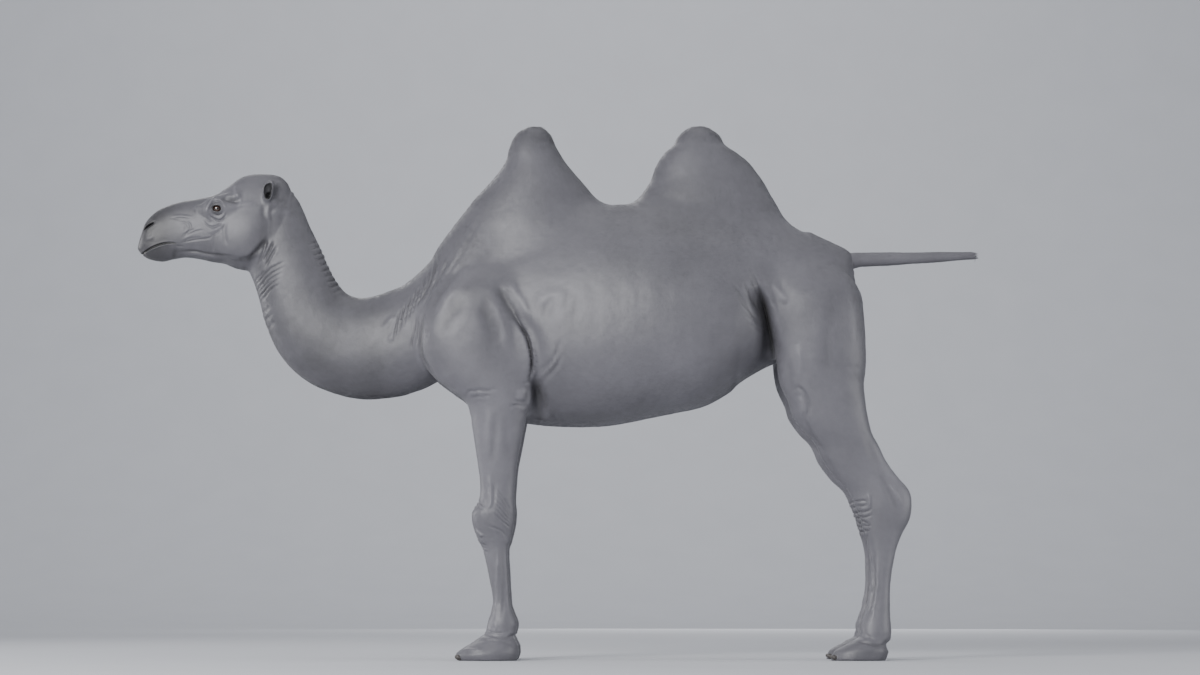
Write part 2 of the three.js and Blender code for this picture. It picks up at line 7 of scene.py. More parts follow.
import bpy
import numpy as np
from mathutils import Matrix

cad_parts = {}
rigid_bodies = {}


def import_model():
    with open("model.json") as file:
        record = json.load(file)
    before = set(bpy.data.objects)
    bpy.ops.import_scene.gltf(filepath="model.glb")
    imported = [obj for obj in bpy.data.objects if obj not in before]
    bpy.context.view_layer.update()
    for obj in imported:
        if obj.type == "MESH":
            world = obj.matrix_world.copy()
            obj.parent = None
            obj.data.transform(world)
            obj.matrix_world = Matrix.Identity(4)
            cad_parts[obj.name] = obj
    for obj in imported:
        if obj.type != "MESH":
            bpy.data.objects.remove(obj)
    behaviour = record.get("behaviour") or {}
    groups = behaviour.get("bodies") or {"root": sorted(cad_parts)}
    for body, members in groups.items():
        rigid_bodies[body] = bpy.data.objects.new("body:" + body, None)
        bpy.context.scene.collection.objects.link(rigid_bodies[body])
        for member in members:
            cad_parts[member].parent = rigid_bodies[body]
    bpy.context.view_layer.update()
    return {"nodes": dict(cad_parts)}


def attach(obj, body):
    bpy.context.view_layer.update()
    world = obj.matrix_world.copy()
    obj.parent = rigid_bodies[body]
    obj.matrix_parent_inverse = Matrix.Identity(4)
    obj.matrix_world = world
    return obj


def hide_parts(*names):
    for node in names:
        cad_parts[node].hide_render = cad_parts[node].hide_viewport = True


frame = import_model()

MM = 0.001
FAR = 1e4
BENDS = 6            # planes from one station of a loft to the next
REACH = 80           # how far outside its box a loft is still measured
COAT_DEPTH = 2.2     # how far the skin lies inside the solids on the trunk
ROWS_AT_ONCE = 50000
CORNERS = list(itertools.product((0, 1), repeat=3))
HEAD_X = -1120       # the head is in front of this
EAR_HOLLOW_Z = 1840  # the ears' hollows are above this


# ---- The body's lofts ----

def lofted(blend, n, *stations, taper=0, paired=False, capped=True):
    """A station is two edge points in the side view, the half width, and for a paired loft its distance from
    the middle. blend rounds the joint with the lofts before it, n squares the sections, and taper widens them
    towards their first edge point. A capped loft ends flat."""
    return dict(blend=blend, n=n, stations=stations, taper=taper, paired=paired, capped=capped)


BARREL = lofted(
    0, 2.2,
    (-482, 1521, -481, 1190, 120), (-392, 1642, -391, 1059, 178), (-252, 1733, -250, 987, 222),
    (-111, 1788, -110, 950, 256), (49, 1826, 50, 939, 292), (213, 1845, 213, 945, 322),
    (401, 1842, 400, 979, 340), (582, 1824, 580, 1018, 332), (686, 1810, 683, 1070, 312),
    (743, 1798, 744, 1122, 292), (863, 1775, 861, 1189, 240), (983, 1738, 982, 1222, 222),
    (1104, 1688, 1102, 1260, 185), (1174, 1648, 1184, 1330, 118), (1204, 1562, 1222, 1466, 18),
    taper=-0.13,
)
FRONT_HUMP = lofted(
    56, 2.1,
    (-400, 1550, 240, 1550, 110), (-481, 1641, 314, 1642, 158), (-416, 1747, 253, 1748, 166),
    (-356, 1847, 176, 1847, 146), (-261, 1953, 87, 1953, 118), (-215, 2021, 32, 2021, 96),
    (-196, 2083, -5, 2083, 76), (-170, 2131, -28, 2130, 56), (-133, 2157, -60, 2157, 32),
    (-112, 2164, -88, 2164, 10),
)
REAR_HUMP = lofted(
    56, 2.1,
    (280, 1550, 940, 1550, 120), (214, 1642, 1013, 1642, 164), (270, 1763, 936, 1764, 170),
    (328, 1869, 877, 1870, 146), (374, 1940, 837, 1941, 126), (402, 2009, 787, 2010, 104),
    (435, 2057, 734, 2056, 88), (470, 2091, 682, 2091, 74), (497, 2132, 655, 2132, 55),
    (534, 2158, 616, 2158, 31), (562, 2167, 587, 2167, 9),
)
NECK = lofted(
    60, 2.15,
    (-1274, 1617, -1110, 1923, 72), (-1236, 1531, -1052, 1860, 80), (-1211, 1451, -1002, 1749, 85),
    (-1186, 1356, -955, 1647, 91), (-1133, 1242, -911, 1554, 98), (-1052, 1151, -863, 1491, 105),
    (-941, 1087, -815, 1469, 111), (-801, 1053, -760, 1470, 118), (-671, 1058, -693, 1490, 130),
    (-561, 1088, -613, 1527, 150), (-471, 1130, -510, 1623, 180), (-371, 1176, -411, 1754, 190),
    (-261, 1260, -302, 1803, 166), (-140, 1330, -190, 1790, 120),
    taper=0.06, capped=False,
)
SKULL = lofted(
    24, 2.3,
    (-1706, 1663, -1703, 1684, 19), (-1695, 1647, -1692, 1722, 39), (-1664, 1624, -1672, 1776, 54),
    (-1609, 1613, -1630, 1819, 61), (-1562, 1622, -1581, 1843, 62), (-1512, 1629, -1524, 1860, 64),
    (-1453, 1622, -1458, 1871, 72), (-1404, 1611, -1395, 1886, 84), (-1354, 1603, -1340, 1919, 92),
    (-1303, 1584, -1281, 1960, 92), (-1251, 1582, -1211, 1972, 88), (-1195, 1638, -1144, 1966, 82),
    (-1145, 1688, -1104, 1938, 70), (-1106, 1759, -1086, 1893, 45),
    taper=0.04,
)
CHEEK = lofted(
    26, 2,
    (-1383, 1650, -1377, 1741, 8, 68), (-1328, 1627, -1317, 1786, 26, 68),
    (-1259, 1617, -1245, 1812, 34, 66), (-1205, 1645, -1194, 1815, 26, 62),
    (-1176, 1696, -1168, 1786, 8, 56),
    paired=True,
)
BROW = lofted(
    22, 2,
    (-1460, 1815, -1463, 1831, 3, 58), (-1436, 1803, -1442, 1839, 10, 63),
    (-1411, 1789, -1416, 1861, 21, 69), (-1377, 1785, -1377, 1875, 27, 72),
    (-1335, 1793, -1329, 1881, 23, 70), (-1292, 1813, -1286, 1877, 9, 65),
    paired=True,
)
TAIL = lofted(
    52, 2,
    (1024, 1720, 1063, 1582, 70), (1104, 1682, 1123, 1572, 56), (1164, 1653, 1172, 1580, 40),
    (1219, 1652, 1218, 1589, 29), (1334, 1653, 1334, 1595, 26), (1475, 1653, 1475, 1603, 21),
    (1605, 1654, 1605, 1615, 17), (1684, 1654, 1684, 1619, 15), (1700, 1648, 1700, 1624, 9),
)
FORELIMB = lofted(
    34, 2.15,
    (-332, 1612, -190, 1612, 30, 92), (-416, 1556, -104, 1556, 68, 122), (-488, 1491, -113, 1491, 96, 142),
    (-532, 1400, -129, 1400, 108, 150), (-554, 1315, -125, 1315, 114, 154),
    (-550, 1223, -107, 1230, 114, 156), (-503, 1140, -99, 1149, 106, 158),
    (-426, 1078, -102, 1079, 93, 161), (-370, 1035, -107, 1029, 82, 164), (-349, 984, -119, 984, 75, 165),
    (-341, 929, -130, 929, 69, 164), (-319, 784, -158, 784, 55, 160), (-311, 704, -166, 704, 50, 157),
    (-314, 647, -168, 644, 53, 155), (-331, 611, -165, 611, 56, 154), (-343, 585, -165, 583, 57, 154),
    (-339, 539, -170, 539, 54, 153), (-320, 484, -183, 484, 46, 152), (-294, 429, -196, 426, 40, 151),
    (-260, 262, -186, 258, 37, 151), (-263, 205, -177, 203, 42, 151), (-276, 161, -159, 151, 51, 151),
    (-285, 121, -163, 113, 52, 151), (-293, 104, -170, 98, 56, 151), (-312, 92, -164, 83, 64, 151),
    (-345, 71, -153, 61, 76, 151), (-379, 50, -151, 46, 86, 151), (-404, 27, -151, 27, 92, 151),
    (-400, 5, -159, 5, 89, 151), (-390, 0, -167, 0, 84, 151),
    paired=True, capped=False,
)
HINDLIMB = lofted(
    32, 2.15,
    (883, 1652, 1052, 1622, 30, 96), (824, 1592, 1160, 1563, 76, 120), (814, 1521, 1216, 1487, 106, 136),
    (832, 1431, 1233, 1402, 120, 144), (869, 1240, 1242, 1230, 110, 150), (878, 1159, 1240, 1164, 102, 151),
    (896, 1094, 1233, 1104, 91, 154), (926, 1029, 1238, 1044, 81, 156), (943, 974, 1247, 984, 74, 156),
    (981, 920, 1264, 914, 66, 153), (1031, 866, 1291, 860, 58, 150), (1062, 799, 1323, 795, 52, 147),
    (1111, 734, 1369, 732, 47, 144), (1163, 681, 1412, 680, 48, 142), (1192, 624, 1423, 627, 50, 141),
    (1212, 569, 1414, 564, 48, 141), (1229, 514, 1381, 499, 43, 142), (1248, 449, 1358, 437, 38, 143),
    (1258, 370, 1343, 365, 35, 145), (1255, 290, 1334, 290, 35, 146), (1242, 220, 1333, 215, 39, 147),
    (1228, 181, 1334, 176, 44, 147), (1215, 149, 1337, 143, 49, 148), (1212, 123, 1338, 113, 52, 149),
    (1205, 93, 1334, 85, 54, 149), (1179, 79, 1319, 67, 61, 150), (1137, 59, 1320, 51, 72, 150),
    (1107, 37, 1325, 35, 79, 150), (1096, 5, 1314, 5, 79, 150), (1105, 0, 1304, 0, 74, 150),
    paired=True, capped=False,
)
LOFTS = [BARREL, FRONT_HUMP, REAR_HUMP, NECK, SKULL, CHEEK, BROW, TAIL, FORELIMB, HINDLIMB]

EYE = np.array([-1378.0, 77.0, 1821.0])
EYE_RADIUS = 19.8
LID = dict(radius=24.4, half_length=17.6, half_height=12.8, tilt=-0.06)
EAR = dict(base=(-1173, 80, 1850), tip=(-1167, 106, 1933), turn=0.2, width=22, depth=15, rim=5.5, square=2.7)
NOSTRIL = dict(middle=np.array([-1661.0, 50.0, 1752.0]), slope=0.62, half_length=29, half_height=4.6,
               depth=27, arch=0.004)
CLEFTS = [dict(x=-362, y=151, z=66, radius=9, slope=0.58), dict(x=1136, y=150, z=60, radius=8, slope=0.5)]
NAILS = dict(fore=dict(x=-391, y=151, spread=42, z=13, size=(17, 12, 11)),
             hind=dict(x=1109, y=150, spread=37, z=12, size=(16, 11, 10)))


# ---- The field: below zero inside the body ----

def rows_in(p, x=(-FAR, FAR), y=(-FAR, FAR), z=(-FAR, FAR)):
    """Rows of the points that lie in the ranges."""
    keep = np.ones(len(p), bool)
    for values, (low, high) in zip(p.T, (x, y, z)):
        keep &= (values > low) & (values < high)
    return np.flatnonzero(keep)


def smooth_min(a, b, k):
    gap = np.maximum(k - np.abs(a - b), 0)
    return np.minimum(a, b) - gap * gap / (4 * k)


def smooth_max(a, b, k):
    return -smooth_min(-a, -b, k)


def smoothstep(low, high, x):
    t = np.clip((x - low) / (high - low), 0, 1)
    return t * t * (3 - 2 * t)


def turned(x, z, angle):
    """Lengths along and across a direction that rises by the angle."""
    c, s = math.cos(angle), math.sin(angle)
    return x * c + z * s, z * c - x * s


def prepare(loft):
    """Adds the loft's planes: middle x and z, direction of the long axis, half lengths, and middle y."""
    rows = np.array([(*s, 0)[:6] for s in loft["stations"]], float)
    last = len(rows) - 1
    t = np.arange(last * BENDS + 1) / BENDS
    i = np.minimum(t.astype(int), last - 1)
    f = (t - i)[:, None]
    p0, p1, p2, p3 = (rows[np.clip(i + k, 0, last)] for k in (-1, 0, 1, 2))
    m1, m2 = (p2 - p0) / 2, (p3 - p1) / 2
    bend = 3 * (p2 - p1) - 2 * m1 - m2 + f * (2 * (p1 - p2) + m1 + m2)
    ax, az, bx, bz, width, y = (p1 + f * (m1 + f * bend)).T
    reach = np.hypot(ax - bx, az - bz) / 2
    x, z = (ax + bx) / 2, (az + bz) / 2
    ux, uz = (ax - bx) / (2 * reach), (az - bz) / (2 * reach)
    loft["planes"] = np.stack([x, z, ux, uz, reach, width, y], 1)
    loft["turn"] = np.sign((x[1] - x[0]) * -uz[0] + (z[1] - z[0]) * ux[0])
    side = (y + width).max()
    bottom = 0 if loft["paired"] else -side
    loft["low"] = np.array([min(ax.min(), bx.min()), bottom, min(az.min(), bz.min())]) - REACH
    loft["high"] = np.array([max(ax.max(), bx.max()), side, max(az.max(), bz.max())]) + REACH


def section(loft, plane, p):
    """Signed distance, close to the surface, from points to the rounded sections of their planes."""
    x, z, ux, uz, reach, width, y = plane.T
    n = loft["n"]
    u = ((p[:, 0] - x) * ux + (p[:, 2] - z) * uz) / reach
    half = width * (1 + loft["taper"] * np.clip(u, -1, 1))
    a = np.maximum(np.abs(u), 1e-6)
    b = np.maximum(np.abs(p[:, 1] - y) / half, 1e-6)
    an, bn = a ** (n - 1), b ** (n - 1)
    q = np.maximum((an * a + bn * b) ** (1 / n), 1e-4)
    slope = np.hypot(an / reach, bn / half) / q ** (n - 1)
    return (q - 1) / np.maximum(slope, 1e-5)


def loft_distance(loft, p):
    out = np.full(len(p), FAR)
    planes, turn = loft["planes"], loft["turn"]
    close = np.flatnonzero(np.all((p >= loft["low"]) & (p <= loft["high"]), axis=1))
    for start in range(0, len(close), ROWS_AT_ONCE):
        rows = close[start:start + ROWS_AT_ONCE]
        q = p[rows]
        ahead = turn * (q[:, 2, None] - planes[:, 1]) * planes[:, 2]
        ahead = ahead - turn * (q[:, 0, None] - planes[:, 0]) * planes[:, 3]
        best = np.full(len(rows), FAR)
        for end, past in ((0, -ahead[:, 0]), (-1, ahead[:, -1])):
            over = np.flatnonzero(past > 0)
            flat = section(loft, np.repeat(planes[end][None], len(over), 0), q[over])
            best[over] = np.minimum(best[over], np.hypot(np.maximum(flat, 0), past[over]))
        row, i = np.nonzero((ahead[:, :-1] >= 0) & (ahead[:, 1:] <= 0))
        t = ahead[row, i] / np.maximum(ahead[row, i] - ahead[row, i + 1], 1e-6)
        plane = planes[i] + t[:, None] * (planes[i + 1] - planes[i])
        flat = section(loft, plane, q[row])
        if loft["capped"]:
            flat = np.maximum(flat, np.maximum(-ahead[row, 0], ahead[row, -1]))
        np.minimum.at(best, row, flat)
        out[rows] = best
    return out


def ear_frame(p):
    """Places in the ear's own directions: across it, outward and upward, and half its height."""
    base, tip = np.array(EAR["base"], float), np.array(EAR["tip"], float)
    axis = (tip - base) / np.linalg.norm(tip - base)
    outward = np.array([-math.sin(EAR["turn"]), math.cos(EAR["turn"]), 0])
    outward -= axis * (outward @ axis)
    outward /= np.linalg.norm(outward)
    q = p - (base + tip) / 2
    return q @ np.cross(outward, axis), q @ outward, q @ axis, np.linalg.norm(tip - base) / 2


def ellipsoid(u, v, w, sizes):
    q = np.sqrt((u / sizes[0]) ** 2 + (v / sizes[1]) ** 2 + (w / sizes[2]) ** 2)
    slope = np.sqrt((u / sizes[0] ** 2) ** 2 + (v / sizes[1] ** 2) ** 2 + (w / sizes[2] ** 2) ** 2)
    return (q - 1) / np.maximum(slope / np.maximum(q, 1e-4), 1e-4)


def ear_cups(p):
    """The ear's shell, the hollow in it, and the ear canal: widest and squarest towards the tip."""
    u, v, w, half = ear_frame(p)
    rise = w / half
    w = w - 0.5 * u * smoothstep(-0.3, 0.9, rise)
    u = u / (1 + 0.18 * np.clip(rise, -1, 1))
    n = EAR["square"]
    r = np.maximum((np.abs(u / EAR["width"]) ** n + np.abs(w / half) ** n) ** (1 / n), 1e-4)
    shell = (np.hypot(r, v / EAR["depth"]) - 1) * EAR["depth"]
    inner = EAR["width"] - EAR["rim"]
    r = r * EAR["width"] / inner
    hollow = (np.hypot(r, (v - 13) / 19) - 1) * inner
    canal = ellipsoid(u, v + 3, w + 0.42 * half, (9, 22, 13))
    return shell, np.minimum(hollow, canal), canal


def body(p, nearest=False):
    """The field at points of the side y >= 0, and if asked which loft is nearest to each."""
    total, closest, which = np.full(len(p), FAR), np.full(len(p), FAR), np.zeros(len(p), int)
    for i, loft in enumerate(LOFTS):
        d = loft_distance(loft, p)
        k = loft["blend"]
        total = smooth_min(total, d, k) if k else np.minimum(total, d)
        which[d < closest] = i
        closest = np.minimum(closest, d)
    total = total + COAT_DEPTH * depth_share(p) + hollows(p)
    total = np.maximum(total, -p[:, 2])
    head = rows_in(p, x=(-FAR, HEAD_X), z=(1680, FAR))
    total[head] = carve_head(p[head], total[head])
    feet = rows_in(p, y=(60, FAR), z=(-FAR, 140))
    total[feet] = carve_feet(p[feet], total[feet])
    return (total, which) if nearest else total


def depth_share(p):
    """The part of the coat's depth at each point: less on the head and legs, and none at the soles."""
    on_head = smoothstep(-1150, -1280, p[:, 0])
    return (1 - 0.7 * on_head) * smoothstep(0, 60, p[:, 2]) * (0.45 + 0.55 * smoothstep(150, 700, p[:, 2]))


def carve_head(p, d):
    """Adds the ears and the lids, and cuts the ears' hollows, the gap between the lids, and the nostril."""
    shell, hollow, _ = ear_cups(p)
    d = smooth_max(smooth_min(d, shell, 12), -hollow, 3)
    q = p - EYE
    along, up = turned(q[:, 0], q[:, 2], LID["tilt"])
    from_eye = np.linalg.norm(q, axis=1)
    d = smooth_min(d, from_eye - LID["radius"], 9)
    almond = ellipsoid(along, 0 * up, up + 0.004 * along ** 2, (LID["half_length"], 9, LID["half_height"]))
    d = smooth_max(d, -np.maximum(almond, 6 - q[:, 1]), 2.5)
    d = np.maximum(d, EYE_RADIUS + 0.9 - from_eye)
    q = p - NOSTRIL["middle"]
    along, up = turned(q[:, 0], q[:, 2], NOSTRIL["slope"])
    slit = ellipsoid(along, q[:, 1], up + NOSTRIL["arch"] * along ** 2 - 1.5,
                     (NOSTRIL["half_length"], NOSTRIL["depth"], NOSTRIL["half_height"]))
    return smooth_max(d, -slit, 3)


def carve_feet(p, d):
    """Cuts the cleft between the two toes of each foot."""
    for cleft in CLEFTS:
        along, up = turned(p[:, 0] - cleft["x"], p[:, 2] - cleft["z"], cleft["slope"])
        off = np.hypot(p[:, 1] - cleft["y"], up) + 0.5 * np.maximum(along - 28, 0)
        d = smooth_max(d, cleft["radius"] - off, 8)
    return d


# ---- Meshing the field on a grid ----

def lines(*spans):
    """A grid's lines on one axis: each span has its start, its end and its step."""
    parts = [np.arange(a, b, step) for a, b, step in spans]
    return np.concatenate(parts + [[spans[-1][1]]]).astype(float)


def enlarged(blocks, times, shape):
    """Every block repeated along the three axes, then cut, or carried on by one block, to the shape."""
    blocks = np.pad(blocks, [(0, 1)] * 3, "edge")
    for axis in range(3):
        blocks = blocks.repeat(times, axis)
    return blocks[:shape[0], :shape[1], :shape[2]]


def sample_field(X, Y, Z):
    """The field on the grid's nodes: exact near the surface, and from coarser blocks away from it."""
    full = np.empty((len(X), len(Y), len(Z)), np.float32)
    for size in (8, 2):
        low = [np.arange(0, len(a) - 1, size) for a in (X, Y, Z)]
        high = [np.minimum(i + size, len(a) - 1) for i, a in zip(low, (X, Y, Z))]
        middle = [(a[i] + a[j]) / 2 for a, i, j in zip((X, Y, Z), low, high)]
        half = [(a[j] - a[i]) / 2 for a, i, j in zip((X, Y, Z), low, high)]
        shape = tuple(len(m) for m in middle)
        if size == 8:
            cells = np.indices(shape).reshape(3, -1).T
        else:
            cells = np.argwhere(enlarged(keep, 4, shape))
        i, j, k = cells.T
        d = body(np.stack([middle[0][i], middle[1][j], middle[2][k]], 1))
        radius = np.sqrt(half[0][i] ** 2 + half[1][j] ** 2 + half[2][k] ** 2)
        if size == 8:
            full[:] = enlarged(d.reshape(shape).astype(np.float32), size, full.shape)
        else:
            for a, b, c in CORNERS:
                full[2 * i + a, 2 * j + b, 2 * k + c] = d
        keep = np.zeros(shape, bool)
        near = np.abs(d) < 1.5 * radius + (14 if size == 8 else 2)
        keep[i[near], j[near], k[near]] = True
    wanted = np.zeros(full.shape, bool)
    n = [length - 1 for length in full.shape]
    cells = enlarged(keep, 2, n)
    for a, b, c in CORNERS:
        wanted[a:a + n[0], b:b + n[1], c:c + n[2]] |= cells
    i, j, k = np.nonzero(wanted)
    full[i, j, k] = body(np.stack([X[i], Y[j], Z[k]], 1))
    return full


def surface_nets(full, X, Y, Z):
    """Vertices and quads of the zero level: one vertex in each cell that the surface crosses."""
    inside = full < 0
    n = [length - 1 for length in full.shape]
    count = np.zeros(n, np.uint8)
    for a, b, c in CORNERS:
        count += inside[a:a + n[0], b:b + n[1], c:c + n[2]]
    cells = np.argwhere((count > 0) & (count < 8))
    index = np.full(n, -1, np.int32)
    index[tuple(cells.T)] = np.arange(len(cells))
    i, j, k = cells.T
    value = np.stack([full[i + a, j + b, k + c] for a, b, c in CORNERS], 1)
    place = np.stack([np.stack([X[i + a], Y[j + b], Z[k + c]], 1) for a, b, c in CORNERS], 1)
    total, hits = np.zeros((len(cells), 3)), np.zeros(len(cells))
    for (s, first), (e, second) in itertools.product(enumerate(CORNERS), repeat=2):
        if sum(second) - sum(first) != 1 or any(y < x for x, y in zip(first, second)):
            continue
        cross = (value[:, s] < 0) != (value[:, e] < 0)
        t = value[cross, s] / (value[cross, s] - value[cross, e])
        total[cross] += place[cross, s] + t[:, None] * (place[cross, e] - place[cross, s])
        hits[cross] += 1
    quads = []
    for axis in range(3):
        lo = [slice(1, -1)] * 3
        hi = [slice(1, -1)] * 3
        lo[axis], hi[axis] = slice(0, -1), slice(1, None)
        edge = np.argwhere(inside[tuple(lo)] != inside[tuple(hi)])
        edge += [0 if d == axis else 1 for d in range(3)]
        second, third = (axis + 1) % 3, (axis + 2) % 3
        ring = []
        for ds, dt in ((-1, -1), (0, -1), (0, 0), (-1, 0)):
            cell = edge.copy()
            cell[:, second] += ds
            cell[:, third] += dt
            ring.append(index[tuple(cell.T)])
        ring = np.stack(ring, 1)
        flip = ~inside[tuple(edge.T)]
        ring[flip] = ring[flip][:, ::-1]
        quads.append(ring)
    return total / hits[:, None], np.concatenate(quads)


def on_vertices(values, quads, count):
    """Adds up on the vertices the vectors given for each quad, or for each of its corners."""
    if values.ndim == 2:
        values = np.stack([values] * 4, 1)
    return np.stack([sum(np.bincount(quads[:, i], values[:, i, axis], count) for i in range(4))
                     for axis in range(3)], 1)


def vertex_normals(vertices, quads):
    a, b, c, d = (vertices[quads[:, i]] for i in range(4))
    out = on_vertices(np.cross(c - a, d - b), quads, len(vertices))
    return out / np.maximum(np.linalg.norm(out, axis=1), 1e-9)[:, None]


def mirrored(p):
    return np.stack([p[:, 0], np.abs(p[:, 1]), p[:, 2]], 1)


def settle(vertices, normals, rounds=2):
    """Moves the vertices onto the field's zero level along their normals."""
    for _ in range(rounds):
        here = body(mirrored(vertices))
        there = body(mirrored(vertices + normals * 0.5))
        rise = np.clip((there - here) / 0.5, 0.35, 2)
        vertices = vertices - normals * np.clip(here / rise, -1.5, 1.5)[:, None]
    return vertices


# ---- Folds: lines in the side view ----

def folds(*rows):
    """Folds from rows: width, depth, below zero for a ridge, start, and the steps from point to point."""
    return [(row[0], row[1], np.cumsum(np.reshape(row[2:], (-1, 2)), axis=0)) for row in rows]


def fan(count, width, depth, first, last):
    """Folds spread evenly between two lines that have the same number of points."""
    return [(width, depth, [(a + (c - a) * t, b + (d - b) * t) for (a, b), (c, d) in zip(first, last)])
            for t in np.linspace(0, 1, count)]


def ripples(start, step, count, width, depth, line):
    """The same short fold repeated at even steps, each a little longer or deeper than the one before."""
    out = []
    for i in range(count):
        longer = 1 + 0.12 * (i % 2)
        points = [(start[0] + step[0] * i + x * longer, start[1] + step[1] * i + z) for x, z in line]
        out.append((width, depth * (0.75 + 0.25 * (i % 3)), points))
    return out


def deepened(rows, factor):
    return [(width, factor * depth, line) for width, depth, line in rows]


MOUTH = folds(
    (3.2, 8, -1725, 1624, 45, 20, 25, 16, 20, 10, 21, 7, 20, 5, 23, 2, 29, -2),
)
HEAD_FOLDS = folds(
    (3, -1.5, -1661, 1647, 22, 12, 25, 10, 28, 5), (4, 1.8, -1549, 1674, 17, -3, 20, 1),
    (12, 4, -1536, 1663, -10, -14, -6, -17, 3, -16),
    (6, 6, -1549, 1647, 37, 4, 37, 0, 25, -4, 29, -7, 32, -4, 41, -4, 33, -7, 29, -8),
    (9, -3, -1532, 1640, 41, 2, 41, -6, 61, -10, 54, -8),
    (12, 10, -1176, 1710, -7, -25, -15, -20, -18, -19, -15, -14, -12, -33),
    (10, 6, -1290, 1617, 29, -1, 28, 12),
    (5, 2, -1549, 1776, 33, -2, 21, -7, 10, -13, -4, -17, -14, -13, -16, -11, -6, -10),
    (5, 1.2, -1532, 1763, 20, -3, 9, -9, -3, -14, -10, -8), (5, 1.8, -1573, 1785, 33, 0, 32, -3, 25, -6),
    (7, -1.8, -1565, 1791, 33, 2, 33, -3, 26, -4), (4, 2.4, -1521, 1703, 15, 10, 23, 11, 29, 9, 24, 4),
    (4, 2.2, -1512, 1715, 21, 16, 24, 9), (4.5, 2.8, -1527, 1683, 19, 7, 29, 5, 29, 3, 29, 1, 26, 9, 27, 14),
    (4, 2, -1516, 1694, 25, 9, 24, 2, 29, 1), (4.5, 3, -1436, 1776, 11, -16, 14, -11, 16, -3, 21, 7, 22, 12),
    (4, 2.2, -1430, 1788, 15, -12, 16, -11),
    (3.6, 4.4, -1411, 1800, 12, -14, 14, -10, 16, -7, 13, 7, 9, 10, 8, 12),
    (4, -2, -1401, 1799, 12, -12, 20, -8, 16, 8, 8, 12),
    (3.4, 3.4, -1400, 1819, 2, 18, 13, 13, 17, 0, 15, -11, 5, -18),
    (3.4, 2.8, -1399, 1813, 10, -15, 16, -7, 16, 5, 11, 15),
    (5.5, -6.5, -1418, 1806, 7, 28, 15, 22, 18, 16, 16, 2), (3.4, 2.4, -1408, 1813, 5, 20, 14, 19),
    (5, -4, -1391, 1858, 17, 2, 17, -9, 13, -17), (16, 10, -1364, 1866, 27, -5, 27, -9, 26, -6),
    (6, 2.4, -1366, 1869, 23, -13, 28, -9, 29, -2), (10, -7, -1307, 1921, 4, -24, 7, -23, 7, -19),
    (14, -3, -1337, 1828, 35, 5, 41, 5, 45, 3), (9, -2.4, -1174, 1843, 3, -18, -1, -29, 7, -31),
    (10, 2, -1188, 1841, -4, -28, 4, -37), (20, 6, -1140, 1882, 14, -20, 14, -21),
    (9, 2.2, -1163, 1802, 8, 18, 23, 9, 31, 2, 26, -16), (18, -2.5, -1151, 1790, 13, 18, 32, 4, 29, -18),
    (10, 3, -1340, 1772, -8, -37, 5, -37, 10, -29), (7, -2.4, -1421, 1722, 24, 9, 29, 12, 25, 20),
    (5, 1.8, -1409, 1710, 24, 8, 25, 13), (4.5, -3, -1678, 1751, 15, 19, 18, 9, 18, -3),
    (4, -2.4, -1670, 1732, 19, 13, 18, 12, 4, 11), (9, -2.4, -1674, 1705, 19, -4, 20, 8),
)
THROAT_FOLDS = folds(
    (6, 4.6, -1174, 1703, -8, -38, -15, -38, -21, -42), (5.5, 6, -1148, 1693, -9, -24, -14, -27, -20, -35),
    (6, 4.4, -1134, 1670, -13, -21, -19, -33, -19, -38),
) + fan(
    5, 5.5, 4.5, [(-1102, 1609), (-1134, 1591), (-1163, 1576), (-1228, 1510)],
    [(-1126, 1516), (-1155, 1500), (-1177, 1478), (-1206, 1443)],
) + folds(
    (4, 3, -1182, 1570, -19, -16, -27, -27), (4, 3, -1174, 1533, -22, -17, -27, -30),
    (4, 2.6, -1166, 1505, -22, -19, -24, -27), (7, 2, -1158, 1430, -19, -16, -29, -17),
    (7, 2, -1147, 1403, -22, -22, -32, -16), (8, 1.8, -1137, 1370, -24, -24, -29, -16),
)
NECK_FOLDS = fan(
    8, 5, 4.1, [(-632, 1412), (-642, 1362), (-657, 1290)], [(-485, 1611), (-503, 1546), (-529, 1462)],
) + folds(
    (4.5, 4, -566, 1371, -9, -49, -8, -44, -3, -29), (4.5, 4, -555, 1376, -7, -54, -5, -65),
    (8, 7, -539, 1397, -10, -75, -3, -65, 11, -49, 23, -43, 32, -38),
    (12, -2.4, -653, 1386, -27, -27, -24, -29), (12, -2.4, -655, 1311, -27, -30),
)
